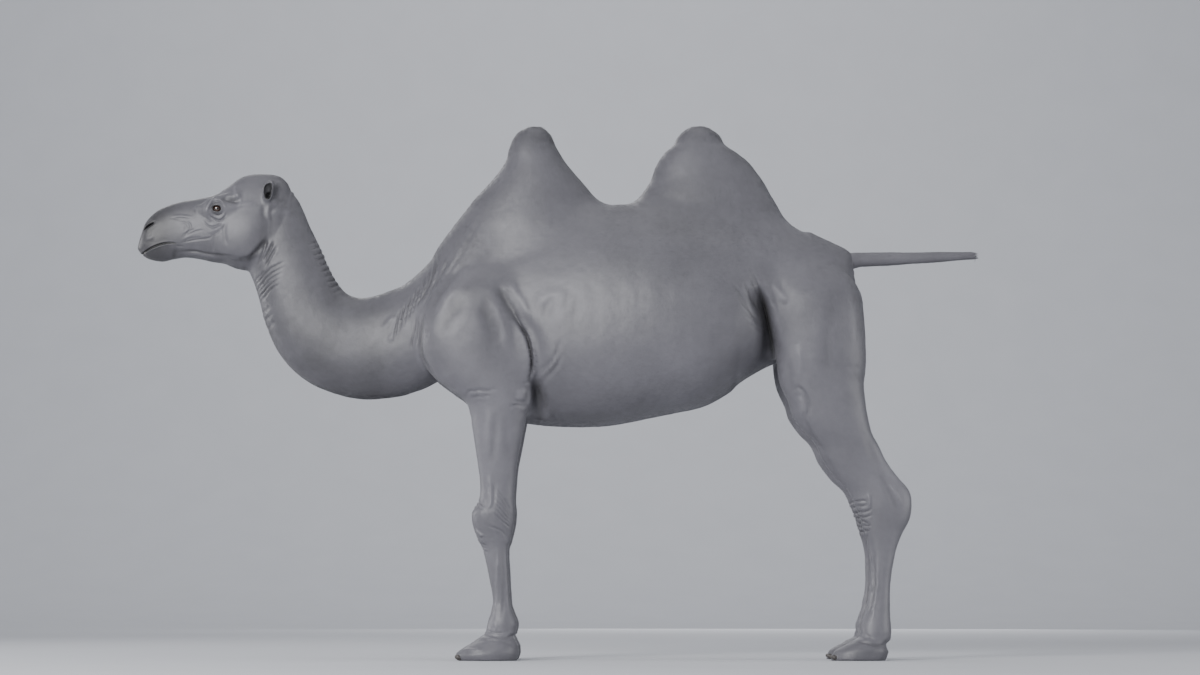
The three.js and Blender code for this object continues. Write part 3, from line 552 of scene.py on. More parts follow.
SHOULDER_FOLDS = folds(
    (9, 3.6, -330, 1819, -32, -98, -38, -63, -38, -58, -35, -56, -30, -55),
    (9, 3, -308, 1798, -29, -77, -35, -69, -38, -62, -38, -49, -30, -45),
    (8, -3.4, -344, 1763, -35, -73, -31, -52, -47, -58),
    (6, 4, -483, 1603, -21, -55, -21, -56, -21, -41, -23, -42),
    (6, 3.6, -462, 1610, -21, -62, -20, -56, -18, -41, -26, -49),
    (6, 3, -440, 1614, -15, -45, -21, -42, -15, -38),
    (28, -7, -299, 1614, -45, -45, -39, -35, -45, -55, -34, -56, -21, -62),
    (20, 5, -341, 1617, -45, -55, -56, -70, -48, -69, -26, -62),
    (28, 5, -369, 1458, -41, -49, -38, -55, -28, -63),
    (20, -6, -271, 1458, 34, -49, 21, -55, 16, -63, -1, -69), (26, 4, -310, 1430, 32, -69, 17, -63, 1, -62),
    (18, 10, -244, 1506, 32, -62, 34, -56, 31, -50), (18, -5, -195, 1520, 31, -55, 35, -56, 28, -55),
    (26, -3.2, -94, 1423, 55, 28, 59, 29), (18, 2.4, 41, 1496, 5, -52, -12, -59),
    (19, 2.2, -24, 1454, -8, -45, -24, -52), (19, 1.8, 72, 1492, 8, -69, -13, -73),
    (9, 3.4, -91, 1128, 35, 42, 31, 17, 28, 42, 7, 55), (9, 4, -70, 1097, 38, 41, 31, 35, 23, 59),
    (7, -4, -77, 1118, 35, 38, 31, 28, 22, 34), (6, 5, -365, 1048, 12, 25, 26, 5, 52, -3, 35, 11),
    (6, 3, -346, 1045, 36, 12, 52, -2), (6, 4, -192, 1009, 28, 11, 35, -8, 15, 10),
    (7, 3, -179, 1041, 32, -10, 26, 3), (9, -5, -114, 1114, 11, -38, -3, -42, -18, -30),
    (20, -9, -146, 1086, 8, -26, -8, -30), (4, 4.5, -98, 1118, -18, -5, -22, -9),
)
FLANK_FOLDS = folds(
    (6, 5, 703, 1499, 35, -55, 36, -55, 39, -47), (6, 5.4, 744, 1513, 34, -69, 31, -58),
    (6, 5.4, 768, 1539, 27, -60, 25, -55), (5, 3.6, 712, 1463, 44, -66, 50, -47),
    (6, 3.6, 729, 1403, 45, -40, 46, -31), (6, 3, 755, 1342, 40, -17, 42, -19),
    (14, -6, 804, 1556, 38, -77, 21, -69, 17, -77, 15, -85), (16, -5, 855, 1513, 34, -43, 34, -48),
    (12, -3.6, 966, 1124, 6, 73, -10, 64), (14, 3.6, 926, 1205, 6, -77, 9, -60),
    (7, 4.4, 939, 1067, 18, 27, 29, -17, 20, -43, 1, -43, -16, -37), (16, -7, 966, 1056, 17, -39, -4, -38),
    (7, 5, 989, 971, 24, -56, 30, -43, 34, -48), (10, 3.6, 1068, 833, 35, -68, 34, -56, 38, -51),
    (6, -5, 1336, 701, 19, -34, 17, -39), (16, 6, 1282, 761, 39, -69, 25, -59, 24, -48),
    (20, 3.6, 1231, 915, 30, -86, 36, -81), (28, 4, 1103, 1513, -13, -128, -16, -129, 9, -136),
    (26, -4, 1150, 1539, 34, -154, 5, -137),
)
HOCK_FOLDS = folds(
    (4.5, 3.4, 1180, 632, 17, 4, 30, 4, 12, -10), (4.5, 3.2, 1199, 618, 24, -2, 16, 8),
    (4.5, 3.8, 1190, 598, 17, -4, 28, 0, 24, 14), (4.5, 3.6, 1187, 580, 20, -6, 32, 0, 24, 6),
    (4.5, 3.6, 1207, 570, 24, -18, 20, -8), (4.5, 3.2, 1222, 542, 21, -6, 12, 6),
    (4.5, 3, 1199, 556, 12, -16, -6, -20), (4.5, 3, 1220, 526, 19, -10, 12, 4),
    (5, -3, 1187, 648, 6, -32, 14, -34), (6, -4, 1243, 667, 8, -31, -2, -31),
    (5, -5, 1245, 505, 10, -68, 6, -68, -2, -74, -10, -62, -16, -52, -15, -45, -7, -40),
    (5, 4, 1269, 443, 1, -80, -2, -68, -8, -62, -14, -57),
    (5, -3.4, 1281, 443, 1, -91, -5, -74, -10, -68, -15, -63),
    (5, 4, 1250, 443, 2, -91, -5, -74, -13, -57, -16, -51),
    (5, -3, 1229, 272, -10, -39, -6, -40, -16, -40, -8, -40), (5, 3.6, 1207, 162, 3, -32, 9, -31),
    (4, 2.6, 1234, 103, 13, -7, 12, -10), (6, 6, 1181, 77, 37, -5, 26, -6, 31, -8, 29, 1, 16, 10),
    (3.6, 3.6, 1098, 27, 20, 23, 32, 17, 37, 8), (4, -3, 1084, 25, 21, 25, 27, 17, 49, 14),
)
KNEE_FOLDS = folds(
    (4, 5, -333, 653, 24, -22, 20, -20), (4, 3, -336, 635, 24, -20, 17, -18),
) + fan(
    6, 4.5, 3.3, [(-240, 689), (-214, 648), (-176, 586)], [(-252, 590), (-214, 555), (-184, 528)],
) + folds(
    (10, -5, -275, 747, 8, -48, 8, -36, -4, -37, -21, -29), (8, 3.6, -252, 705, 2, -48, -7, -40),
    (6, -5, -325, 523, 16, -21, 16, -4), (4, 3.2, -307, 469, 13, -6, 14, -7),
    (4, 3.2, -302, 455, 11, -4, 13, -5), (4, 3.2, -299, 441, 11, -4, 10, -3),
    (5, 2.6, -277, 537, 36, -9, 32, -18, 12, -35), (6, -3.6, -233, 463, -5, -111, -3, -105, -7, -90),
    (9, 3.6, -214, 452, 2, -100, 0, -105, -8, -84), (6, 3.6, -185, 436, 0, -110, 0, -79, 9, -69),
    (6, 3.6, -288, 126, 21, -12, 26, -5, 37, 3), (6, 6, -299, 94, 37, 9, 32, -9, 32, -6, 37, 18),
    (6, -3, -257, 155, 16, -19, 0, -18), (8, 3, -344, 67, 40, 14, 47, 2, 53, -10, 46, -19),
    (7, -3.6, -389, 34, 21, 9, 32, 2, 56, -5), (14, 3.2, -241, 989, -8, -111, -8, -100),
    (14, -3, -272, 1010, -6, -105, 3, -111), (14, 2.6, -198, 978, -6, -100, 6, -100),
)
RIB_FOLDS = ripples((-52, 1590), (92, -8), 6, 30, 0.8, [(0, 0), (26, -160), (22, -330)])
CREST_FOLDS = ripples((-985, 1690), (11, -22), 10, 5, 2.4, [(10, 6), (-28, -15)])
# Folds of the sides only, and folds that also run round the edges of the body.
SIDE_FOLDS = HEAD_FOLDS + deepened(NECK_FOLDS, 1.35) + SHOULDER_FOLDS + FLANK_FOLDS + RIB_FOLDS
ROUND_FOLDS = MOUTH + THROAT_FOLDS + CREST_FOLDS + deepened(HOCK_FOLDS + KNEE_FOLDS, 1.15)
# What the field itself loses: the creases of the shoulder and the thigh, then hollows behind the shoulder, at
# the elbow and in the flank.
HOLLOWS = folds(
    (6, 17, -174, 1385, 34, -59, 21, -35, 12, -41, 6, -49, 0, -38, -10, -49),
    (7, 15, 774, 1564, 34, -81, 21, -60, 15, -60, 12, -55, 10, -56, 10, -64, 13, -77),
    (30, 12, -150, 1380, 30, -40, 30, -50, 18, -60, 6, -60, -12, -70),
    (22, 60, -92, 1150, 14, -70, 8, -70, 2, -80, -2, -50),
    (31, 56, 785, 1490, 23, -60, 19, -45, 12, -52, 11, -63, 10, -70),
)
# The creases and hollows that also get painted shade in tones().
PAINTED_SHADE_HOLLOWS = HOLLOWS[:2] + HOLLOWS[-2:]


def rounded(line):
    """The line with its corners cut twice, so that a fold bends smoothly."""
    line = np.array(line, float)
    for _ in range(2):
        a, b = line[:-1], line[1:]
        cut = np.stack([a * 0.75 + b * 0.25, a * 0.25 + b * 0.75], 1).reshape(-1, 2)
        line = np.concatenate([line[:1], cut, line[-1:]])
    return line


def to_line(p, points, reach):
    """The points within reach of a line in the side view: their rows, distances and shares of its length."""
    line = rounded(points)
    low, high = line.min(0) - reach, line.max(0) + reach
    near = rows_in(p, x=(low[0], high[0]), z=(low[1], high[1]))
    q = p[near][:, ::2]
    best, along = np.full(len(near), 1e9), np.zeros(len(near))
    lengths = np.linalg.norm(np.diff(line, axis=0), axis=1)
    begins = np.concatenate([[0], np.cumsum(lengths)])
    for a, b, begin, length in zip(line[:-1], line[1:], begins, lengths):
        t = np.clip((q - a) @ (b - a) / length ** 2, 0, 1)
        d = np.linalg.norm(q - a - t[:, None] * (b - a), axis=1)
        closer = d < best
        best[closer], along[closer] = d[closer], (begin + t * length)[closer]
    return near, best, along / begins[-1]


def fold_heights(p, normals):
    """How far the skin stands out at each point, below zero in a fold."""
    out = np.zeros(len(p))
    side = smoothstep(0.1, 0.5, np.abs(normals[:, 1]))
    stray = np.where(p[:, :1] < -450, 1.3, 2.8)
    p = p + np.stack([noise(p, 30, 7), 0 * side, noise(p, 30, 8)], 1) * stray
    for table, weight in ((SIDE_FOLDS, side), (ROUND_FOLDS, np.ones(len(p)))):
        for width, depth, points in table:
            near, distance, share = to_line(p, points, 4 * width)
            taper = smoothstep(-0.05, 0.3, share) * smoothstep(1.05, 0.7, share)
            r = distance / width
            out[near] -= depth * taper * (np.exp(-r * r) - 0.28 * np.exp(-(r / 2.2) ** 2)) * weight[near]
    return out


def hollows(p):
    """How far the flesh falls in beside the shoulder, the elbow and the thigh."""
    out = np.zeros(len(p))
    rows = rows_in(p, x=(-280, 960), y=(90, FAR), z=(900, 1600))
    q = p[rows]
    side = smoothstep(100, 170, q[:, 1])
    for width, depth, points in HOLLOWS:
        near, distance, share = to_line(q, points, 3 * width)
        taper = smoothstep(-0.05, 0.3, share) * smoothstep(1.05, 0.75, share)
        out[rows[near]] += depth * taper * np.exp(-(distance / width) ** 2) * side[near]
    return out


def noise(p, size, seed):
    """Smooth noise between -1 and 1 whose bumps are about size across."""
    table = np.random.default_rng(seed).random((32, 32, 32)) * 2 - 1
    cell = np.floor(p / size).astype(int)
    f = smoothstep(0, 1, p / size - cell)
    out = np.zeros(len(p))
    for a, b, c in CORNERS:
        share = np.abs(1 - a - f[:, 0]) * np.abs(1 - b - f[:, 1]) * np.abs(1 - c - f[:, 2])
        out += share * table[(cell[:, 0] + a) % 32, (cell[:, 1] + b) % 32, (cell[:, 2] + c) % 32]
    return out


# ---- The skin's map and the lie of its hair ----

# Each chart's region, its loft, and its place and size on the map. An ear has two: outer and inner.
CHARTS = [
    ("trunk", BARREL, (0.01, 0.01, 0.42, 0.49)),
    ("front_hump", FRONT_HUMP, (0.44, 0.01, 0.17, 0.36)),
    ("rear_hump", REAR_HUMP, (0.62, 0.01, 0.17, 0.36)),
    ("neck", NECK, (0.01, 0.51, 0.40, 0.24)),
    ("head", SKULL, (0.44, 0.38, 0.30, 0.28)),
    ("tail", TAIL, (0.80, 0.01, 0.05, 0.36)),
    ("left_foreleg", FORELIMB, (0.01, 0.77, 0.42, 0.10)),
    ("right_foreleg", FORELIMB, (0.01, 0.88, 0.42, 0.10)),
    ("left_hindleg", HINDLIMB, (0.45, 0.68, 0.45, 0.14)),
    ("right_hindleg", HINDLIMB, (0.45, 0.83, 0.45, 0.14)),
    ("left_ear", None, (0.87, 0.01, 0.07, 0.09)),
    ("right_ear", None, (0.87, 0.11, 0.07, 0.09)),
    ("left_ear", None, (0.87, 0.21, 0.07, 0.09)),
    ("right_ear", None, (0.87, 0.31, 0.07, 0.09)),
]
CHART_NAMES = [name for name, _, _ in CHARTS]
TAIL_CHART, FIRST_LEG, FIRST_EAR = 5, 6, 10
CHART_OF_LOFT = np.array([0, 1, 2, 3, 4, 4, 4, TAIL_CHART, FIRST_LEG, FIRST_LEG + 2])
ON_EAR = 2.5  # how close to the ear's shell or hollow a point of the ear lies


def chart_of(p):
    """The chart that each point lies on: its nearest loft's, and for a leg its side's, or one of an ear's."""
    q = mirrored(p)
    which = CHART_OF_LOFT[body(q, nearest=True)[1]]
    right = p[:, 1] > 0
    which = np.where((which >= FIRST_LEG) & right, which + 1, which)
    rows = rows_in(q, x=(-FAR, -1100), y=(60, FAR), z=(EAR["base"][2], FAR))
    shell, hollow, _ = np.abs(ear_cups(q[rows]))
    on_ear = np.minimum(shell, hollow) < ON_EAR
    rows = rows[on_ear]
    which[rows] = FIRST_EAR + right[rows] + 2 * (hollow[on_ear] < ON_EAR)
    return which


def chart_place(p, chart):
    """Where the points lie on their charts, as parts of its length and girth, and which way the hair lies."""
    place, run = np.zeros((len(p), 2)), np.zeros((len(p), 3))
    for c, (name, loft, _) in enumerate(CHARTS):
        rows = np.flatnonzero(chart == c)
        if not len(rows):
            continue
        q = mirrored(p[rows])
        if loft is None:
            u, _, w, half = ear_frame(q)
            place[rows] = np.stack([0.5 + u / 70, 0.5 + w / (2.4 * half)], 1)
            run[rows] = [0.25, 0, 0.97]
            continue
        planes = loft["planes"]
        line = planes[:, :2]
        lengths = np.concatenate([[0], np.cumsum(np.linalg.norm(np.diff(line, axis=0), axis=1))])
        best, along, index = np.full(len(rows), 1e12), np.zeros(len(rows)), np.zeros(len(rows), int)
        for i in range(len(line) - 1):
            step = line[i + 1] - line[i]
            t = np.clip((q[:, ::2] - line[i]) @ step / max(step @ step, 1e-9), 0, 1)
            d = ((q[:, ::2] - line[i] - t[:, None] * step) ** 2).sum(1)
            closer = d < best
            best[closer], index[closer] = d[closer], i
            along[closer] = (lengths[i] + t * (lengths[i + 1] - lengths[i]))[closer]
        plane = planes[index]
        a = (q[:, 0] - plane[:, 0]) * plane[:, 2] + (q[:, 2] - plane[:, 1]) * plane[:, 3]
        b = (q if loft["paired"] else p[rows])[:, 1] - plane[:, 6]
        place[rows] = np.stack([along / lengths[-1], np.arctan2(b, -a) / (2 * math.pi) + 0.5], 1)
        ahead = line[np.minimum(index + 2, len(line) - 1)] - line[np.maximum(index - 1, 0)]
        ahead /= np.linalg.norm(ahead, axis=1)[:, None]
        # A hump's loft runs upward, but its hair lies downward.
        run[rows] = np.stack([ahead[:, 0], 0 * ahead[:, 0], ahead[:, 1]], 1) * (-1 if "hump" in name else 1)
    return place, run


def on_map(place, chart):
    """Places on charts as places on the whole map, where the tail's chart stands upright."""
    boxes = np.array([box for _, _, box in CHARTS])[chart]
    place = np.where((chart == TAIL_CHART)[..., None], place[..., ::-1], place)
    return boxes[..., :2] + np.clip(place, -0.01, 1.01) * boxes[..., 2:]


def spread(values, quads, rounds):
    """Evens a value on the vertices out over their neighbours."""
    share = sum(np.bincount(quads[:, i], minlength=len(values)) for i in range(4)) * 4.0
    for _ in range(rounds):
        middle = sum(values[quads[:, i]] for i in range(4))
        values = on_vertices(middle, quads, len(values)) / share[:, None]
    return values


def lay_hair(vertices, quads):
    """The chart of each quad, its corners' places on the map, and the lie of the hair on the vertices."""
    chart = chart_of(vertices[quads].mean(1))
    place, run = chart_place(vertices[quads].reshape(-1, 3), np.repeat(chart, 4))
    place = place.reshape(-1, 4, 2)
    wrapped = (place[:, :, 1].max(1) - place[:, :, 1].min(1)) > 0.5
    place[wrapped, :, 1] -= place[wrapped, :, 1] > 0.5
    uv = on_map(place, np.repeat(chart[:, None], 4, 1)).reshape(-1, 2)
    lie = on_vertices(run.reshape(-1, 4, 3), quads, len(vertices)) + [0, 0, -0.3 * 4]
    return chart, uv, spread(lie, quads, 30)


# ---- The skin ----

def add_piece(name, vertices, faces, material, slot, uv=None, normals=None, **values):
    """A mesh piece from arrays in millimetres. faces is one array of quads or triangles, uv is per corner,
    and the normals and named values are per vertex."""
    mesh = bpy.data.meshes.new(name)
    size = faces.shape[1]
    mesh.vertices.add(len(vertices))
    mesh.vertices.foreach_set("co", (vertices * MM).astype(np.float32).ravel())
    mesh.loops.add(faces.size)
    mesh.loops.foreach_set("vertex_index", faces.astype(np.int32).ravel())
    mesh.polygons.add(len(faces))
    mesh.polygons.foreach_set("loop_start", np.arange(0, faces.size, size, dtype=np.int32))
    mesh.polygons.foreach_set("use_smooth", np.ones(len(faces), bool))
    mesh.update(calc_edges=True)
    if uv is not None:
        layer = mesh.uv_layers.new(name="OFBake")
        layer.data.foreach_set("uv", uv.astype(np.float32).ravel())
    for title, numbers in values.items():
        layer = mesh.attributes.new(title, "FLOAT", "POINT")
        layer.data.foreach_set("value", numbers.astype(np.float32))
    if normals is not None:
        mesh.normals_split_custom_set_from_vertices(normals.astype(np.float32))
    mesh.materials.append(material)
    piece = bpy.data.objects.new(name, mesh)
    bpy.context.scene.collection.objects.link(piece)
    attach(piece, "root")
    return piece


def make_skin():
    """The skin's vertices, normals and quads, and how far its relief stands out at the vertices."""
    for loft in LOFTS:
        prepare(loft)
    X = lines(
        (-1720, -1440, 2.7), (-1440, -1340, 2), (-1340, -1140, 2.8), (-1140, -1080, 4.4), (-1080, -700, 7.8),
        (-700, -490, 4.8), (-490, -350, 7.4), (-350, -160, 4.6), (-160, -50, 4.2), (-50, 730, 8.2),
        (730, 900, 5.6), (900, 1160, 8), (1160, 1264, 4.4), (1264, 1722, 7.6),
    )
    Y = lines((0, 60, 4.8), (60, 128, 2.6), (128, 200, 5), (200, 356, 7.8))
    Z = lines(
        (-6, 130, 4.4), (130, 440, 7.6), (440, 680, 4.4), (680, 1440, 8), (1440, 1600, 4.8),
        (1600, 1640, 3.2), (1640, 1692, 2), (1692, 1736, 3.2), (1736, 1776, 2.3), (1776, 1806, 2.8),
        (1806, 1842, 1.8), (1842, 1940, 2.8), (1940, 1970, 4), (1970, 2186, 7.4),
    )
    half = sample_field(X, Y, Z)
    full = np.concatenate([half[:, :0:-1], half], 1)
    vertices, quads = surface_nets(full, X, np.concatenate([-Y[:0:-1], Y]), Z)
    vertices = settle(vertices, vertex_normals(vertices, quads))
    normals = vertex_normals(vertices, quads)
    heights = relief(vertices, normals)
    vertices = vertices + normals * heights[:, None]
    vertices[:, 2] = np.maximum(vertices[:, 2], 0)
    return vertices, vertex_normals(vertices, quads), quads, heights


def from_eye(p):
    return np.linalg.norm(p - EYE, axis=1)


def from_nostril(p, stretch):
    return np.linalg.norm((p - NOSTRIL["middle"]) / [stretch, 1, 1], axis=1)


def relief(p, normals):
    """The folds and the unevenness of the skin over the plain lofts, and the cleft in the upper lip."""
    low = smoothstep(2, 40, p[:, 2])
    clear = smoothstep(22, 32, from_eye(mirrored(p)))
    head = smoothstep(-1120, -1260, p[:, 0])
    lumps = 1.6 * noise(p, 120, 1) + 0.6 * noise(p, 45, 2) * (1 - 0.5 * head) + 0.3 * noise(p, 18, 3)
    cleft = 5 * np.exp(-(p[:, 1] / 4.5) ** 2) * smoothstep(-1640, -1665, p[:, 0])
    cleft *= smoothstep(1648, 1656, p[:, 2])
    cleft *= smoothstep(1752, 1720, p[:, 2])
    return (fold_heights(p, normals) + lumps * (1 - 0.6 * head)) * low * clear - cleft


def tones(p, heights):
    """Light and dark over the body, from 0 to 1, with painted shade in its folds, hollows, mouth and ears:
    the same for the skin and the hair that grows from it.
    """
    q = mirrored(p)
    x, _, z = q.T
    tone = 0.56 + 0.08 * noise(p, 260, 5) + 0.04 * noise(p, 70, 6)
    tone += 0.13 * smoothstep(1500, 1050, z) * smoothstep(-700, -400, x)
    tone -= 0.08 * np.exp(-((z - 560) / 90) ** 2)
    for shift, start, end, values in (
        (-0.10, 2000, 2150, z),           # tops of the humps
        (-0.14, -560, -760, x),           # neck
        (0.07, -1150, -1250, x),          # head
        (-0.24, -1500, -1660, x),         # snout
        (0.10, 1250, 1400, x),            # tail
        (-0.12, 110, 30, z),              # feet
        (-0.24, 34, 22, from_eye(q)),     # lids
        (-0.12, 30, 12, from_nostril(q, 1.3)),
    ):
        tone += shift * smoothstep(start, end, values)
    # Painted shade in the folds and painted light on the ridges, from how far the skin stands out.
    tone += np.clip(heights, -7, 3) * 0.026
    # Painted shade in the creases of the shoulder and the thigh, behind the elbow and in the flank.
    for width, _, points in PAINTED_SHADE_HOLLOWS:
        near, distance, share = to_line(q, points, 4 * width)
        taper = smoothstep(0, 0.3, share) * smoothstep(1, 0.75, share) * (q[near, 1] > 100)
        tone[near] -= 0.32 * taper * np.exp(-(distance / max(8, 0.9 * width)) ** 2)
    # Painted shade along the line of the mouth.
    near, distance, share = to_line(q, MOUTH[0][2], 12)
    tone[near] -= 0.5 * np.exp(-(distance / 2.6) ** 2) * smoothstep(1, 0.92, share)
    # Painted shade in the ears' hollows and canals.
    ears = rows_in(q, x=(-FAR, HEAD_X), z=(EAR_HOLLOW_Z + 2, FAR))
    _, hollow, canal = ear_cups(q[ears])
    tone[ears] -= 0.36 * smoothstep(3, 1, np.abs(hollow + 1)) + 0.3 * smoothstep(6, 1, canal)
    return np.clip(tone, 0.02, 0.98)


# ---- Hair ----

# Tufts in each square centimetre, their length, their width, and how far their tips stand out.
HAIR = dict(trunk=(2.2, 17, 2.8, 0.5), hump=(2.4, 18, 2.8, 0.6), neck=(2.6, 15, 2.5, 0.5),
            head=(6.5, 7.5, 1.5, 0.25), tail=(5, 15, 2.0, 1.0), foreleg=(3.2, 10, 2.1, 0.4),
            hindleg=(2.9, 11, 2.2, 0.4), ear=(6, 7, 1.4, 0.5))
CHART_HAIR = np.array([HAIR[name.split("_")[-1]] for name in CHART_NAMES])
THICK_HAIR = 2.8  # tufts in each square centimetre; the legs, head, ears and tail have more
PIECE_TUFTS = 48000
TUFT_FACES = np.array([(0, 2, 3), (2, 1, 3), (1, 0, 3), (0, 1, 2)])
TUFT_UV = np.array([(0.0015, -0.0012), (-0.0015, -0.0012), (0, 0.0002), (0, 0.0015)])


def sow(vertices, quads, chart, rng):
    """Roots of the tufts: the quad of each, and the shares of its corners."""
    a, b, c, d = (vertices[quads[:, i]] for i in range(4))
    square_cm = np.linalg.norm(np.cross(c - a, d - b), axis=1) / 200
    q = mirrored((a + b + c + d) / 4)
    x, _, z = q.T
    density = CHART_HAIR[chart, 0] * np.where(z < 60, 1.5, 1) * (z > 4)
    density *= smoothstep(24, 28, from_eye(q))
    density *= np.where(density > THICK_HAIR, 1 - 0.28 * smoothstep(900, 1350, z) * (x > -500), 1)
    density *= smoothstep(14, 24, from_nostril(q, 1.4))
    ears = rows_in(q, x=(-FAR, HEAD_X), z=(EAR_HOLLOW_Z, FAR))
    density[ears] *= 1 - 0.8 * (np.abs(ear_cups(q[ears])[1]) < 3)
    wanted = square_cm * density
    number = np.floor(wanted + rng.random(len(wanted))).astype(int)
    quad = np.repeat(np.arange(len(quads)), number)
    s, t = rng.random(len(quad)), rng.random(len(quad))
    return quad, np.stack([(1 - s) * (1 - t), s * (1 - t), s * t, (1 - s) * t], 1)


def make_coat(vertices, quads, normals, chart, lie, tone, material):
    """Flat tufts of four corners each, in pieces by region."""
    rng = np.random.default_rng(11)
    quad, share = sow(vertices, quads, chart, rng)
    corners = quads[quad]

    def mixed(values):
        return sum(values[corners[:, i]] * share[:, i, None] for i in range(4))

    root, normal, along = mixed(vertices), mixed(normals), mixed(lie)
    shade = mixed(tone[:, None])[:, 0] + rng.normal(0, 0.03, len(quad))
    normal /= np.linalg.norm(normal, axis=1)[:, None]
    along = along + rng.normal(0, 0.16, along.shape)
    along -= normal * (along * normal).sum(1)[:, None]
    along /= np.maximum(np.linalg.norm(along, axis=1), 1e-6)[:, None]
    across = np.cross(normal, along)
    region = chart[quad]
    name = np.array(CHART_NAMES)[region]
    _, length, width, lift = CHART_HAIR[region].T[..., None]
    x, _, z = mirrored(root).T
    small = 1 - 0.35 * smoothstep(-1380, -1500, x) - 0.3 * smoothstep(140, 40, z)
    long = 1 + 0.15 * smoothstep(2020, 2150, z) + 0.3 * smoothstep(1600, 1700, x)
    long += 0.45 * smoothstep(0.72, 0.95, -normal[:, 2]) * (x < -500)
    long += 0.35 * smoothstep(0.6, 0.9, normal[:, 2]) * (x < -400) * (x > -1150)
    long *= np.where(name == "head", 1 + 0.45 * smoothstep(-1300, -1130, x), 1)
    long *= np.where(name == "neck", 0.7 + 0.3 * smoothstep(-1130, -950, x), 1)
    long *= np.where(np.char.endswith(name, "leg"), 1 + 0.5 * smoothstep(900, 1350, z), 1)
    scale = (small * long * rng.uniform(0.7, 1.25, len(quad)))[:, None]
    length = length * scale
    lift = lift * scale * rng.uniform(0.4, 1.4, len(quad))[:, None]
    width = width * rng.uniform(0.8, 1.2, len(quad))[:, None] * (0.6 + 0.4 * small[:, None])
    points = np.stack([
        root + across * width / 2 - normal * 0.9,
        root - across * width / 2 - normal * 0.9,
        root + along * length * 0.3 + normal * (0.12 * width + 0.3 * lift),
        root + along * length + normal * (lift - 0.2),
    ], 1)
    facing = np.stack([normal + across * 0.3, normal - across * 0.3, normal, normal + along * 0.12], 1)
    facing /= np.linalg.norm(facing, axis=2)[:, :, None]
    spots = on_map(chart_place(root, region)[0], region)[:, None] + TUFT_UV
    for title in dict.fromkeys(CHART_NAMES):
        members = np.flatnonzero(name == title)
        members = members[np.argsort(root[members, 0], kind="stable")]
        parts = max(1, math.ceil(len(members) / PIECE_TUFTS))
        for i, rows in enumerate(np.array_split(members, parts)):
            number = f"_{i + 1}" if parts > 1 else ""
            faces = (np.arange(len(rows))[:, None, None] * 4 + TUFT_FACES).reshape(-1, 3)
            add_piece(f"coat_{title}{number}", points[rows].reshape(-1, 3), faces, material, "coat",
                      uv=spots[rows][:, TUFT_FACES].reshape(-1, 2), tone=np.repeat(shade[rows], 4),
                      normals=facing[rows].reshape(-1, 3))


LASHES = 44
# Along a lash: how far it has gone outward and down, as shares of its length, and its radius.
LASH_RINGS = ((0, 0, 0.55), (0.5, 0.12, 0.4), (0.95, 0.5, 0.06))
SIDES = ((-1, "left"), (1, "right"))


def make_lashes(material):
    """A row of lashes on each upper lid, longest in the middle, that bend down over the eye."""
    rng = np.random.default_rng(5)
    points, faces, spots = [], [], []
    for (side, _), i in itertools.product(SIDES, range(LASHES)):
        t = (i + rng.uniform(-0.3, 0.3)) / (LASHES - 1) * 2 - 1
        x = EYE[0] + t * (LID["half_length"] + 1)
        z = EYE[2] + 1.5 + (LID["half_height"] + 0.5) * math.sqrt(max(0.02, 1 - t * t)) + 0.1 * (x - EYE[0])
        rise = LID["radius"] ** 2 - (x - EYE[0]) ** 2 - (z - EYE[2]) ** 2
        y = EYE[1] + math.sqrt(max(rise, 60)) - 1.6
        reach = (17 - 7 * t * t) * rng.uniform(0.8, 1.15)
        lean = 0.55 * t + rng.uniform(-0.15, 0.15)
        first = len(points)
        for out, drop, radius in LASH_RINGS:
            base = np.array([x + lean * out * reach, y + out * reach * 0.8, z - drop * reach * 0.8])
            for angle in (0, 2.1, 4.2):
                around = np.array([math.cos(angle), 0, math.sin(angle)])
                points.append((base + radius * around) * [1, side, 1])
        for ring, j in itertools.product((0, 3), range(3)):
            a, b = first + ring + j, first + ring + (j + 1) % 3
            faces.append((a, b, b + 3, a + 3) if side > 0 else (b, a, a + 3, b + 3))
            spots += [(0.96 + 0.01 * j, 0.02 + 0.001 * i)] * 4
    add_piece("lashes", np.array(points), np.array(faces), material, "coat", uv=np.array(spots),
              tone=np.full(len(points), 0.03))


# ---- Eyes and nails ----

def ball(middle, sizes, pitch=0, rings=28, parts=40, floor=-FAR):
    """Vertices and quads of an ellipsoid whose poles lie along Y, cut flat at the floor."""
    phi = np.linspace(0.001, math.pi - 0.001, rings)
    theta = np.linspace(0, 2 * math.pi, parts, endpoint=False)
    f, t = np.meshgrid(phi, theta, indexing="ij")
    p = np.stack([np.sin(f) * np.cos(t), np.cos(f), np.sin(f) * np.sin(t)], -1).reshape(-1, 3) * sizes
    x, z = turned(p[:, 0], p[:, 2], -pitch)
    p = np.stack([x, p[:, 1], z], 1) + middle
    p[:, 2] = np.maximum(p[:, 2], floor)
    i, j = np.meshgrid(np.arange(rings - 1), np.arange(parts), indexing="ij")
    k = (j + 1) % parts
    i = i * parts
    return p, np.stack([i + j, i + k, i + parts + k, i + parts + j], -1).reshape(-1, 4)


def make_eyes(material):
    for side, word in SIDES:
        points, faces = ball(EYE * [1, side, 1], (EYE_RADIUS,) * 3, rings=40, parts=56)
        eye = add_piece(f"eyeball_{word}", points, faces, material, "eye")
        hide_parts(f"eye_{word}")


def make_nails(material):
    for (side, word), (end, nails) in itertools.product(SIDES, NAILS.items()):
        for i, away in enumerate((-nails["spread"], nails["spread"])):
            middle = (nails["x"], side * (nails["y"] + away), nails["z"])
            points, faces = ball(middle, nails["size"], pitch=-0.35, floor=1.0)
            place = "in" if i == 0 else "out"
            nail = add_piece(f"{end}_nail_{word}_{place}", points, faces, material, "horn")
            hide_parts(f"{end}_nail_{word}_{i + 1}")


# ---- Materials ----

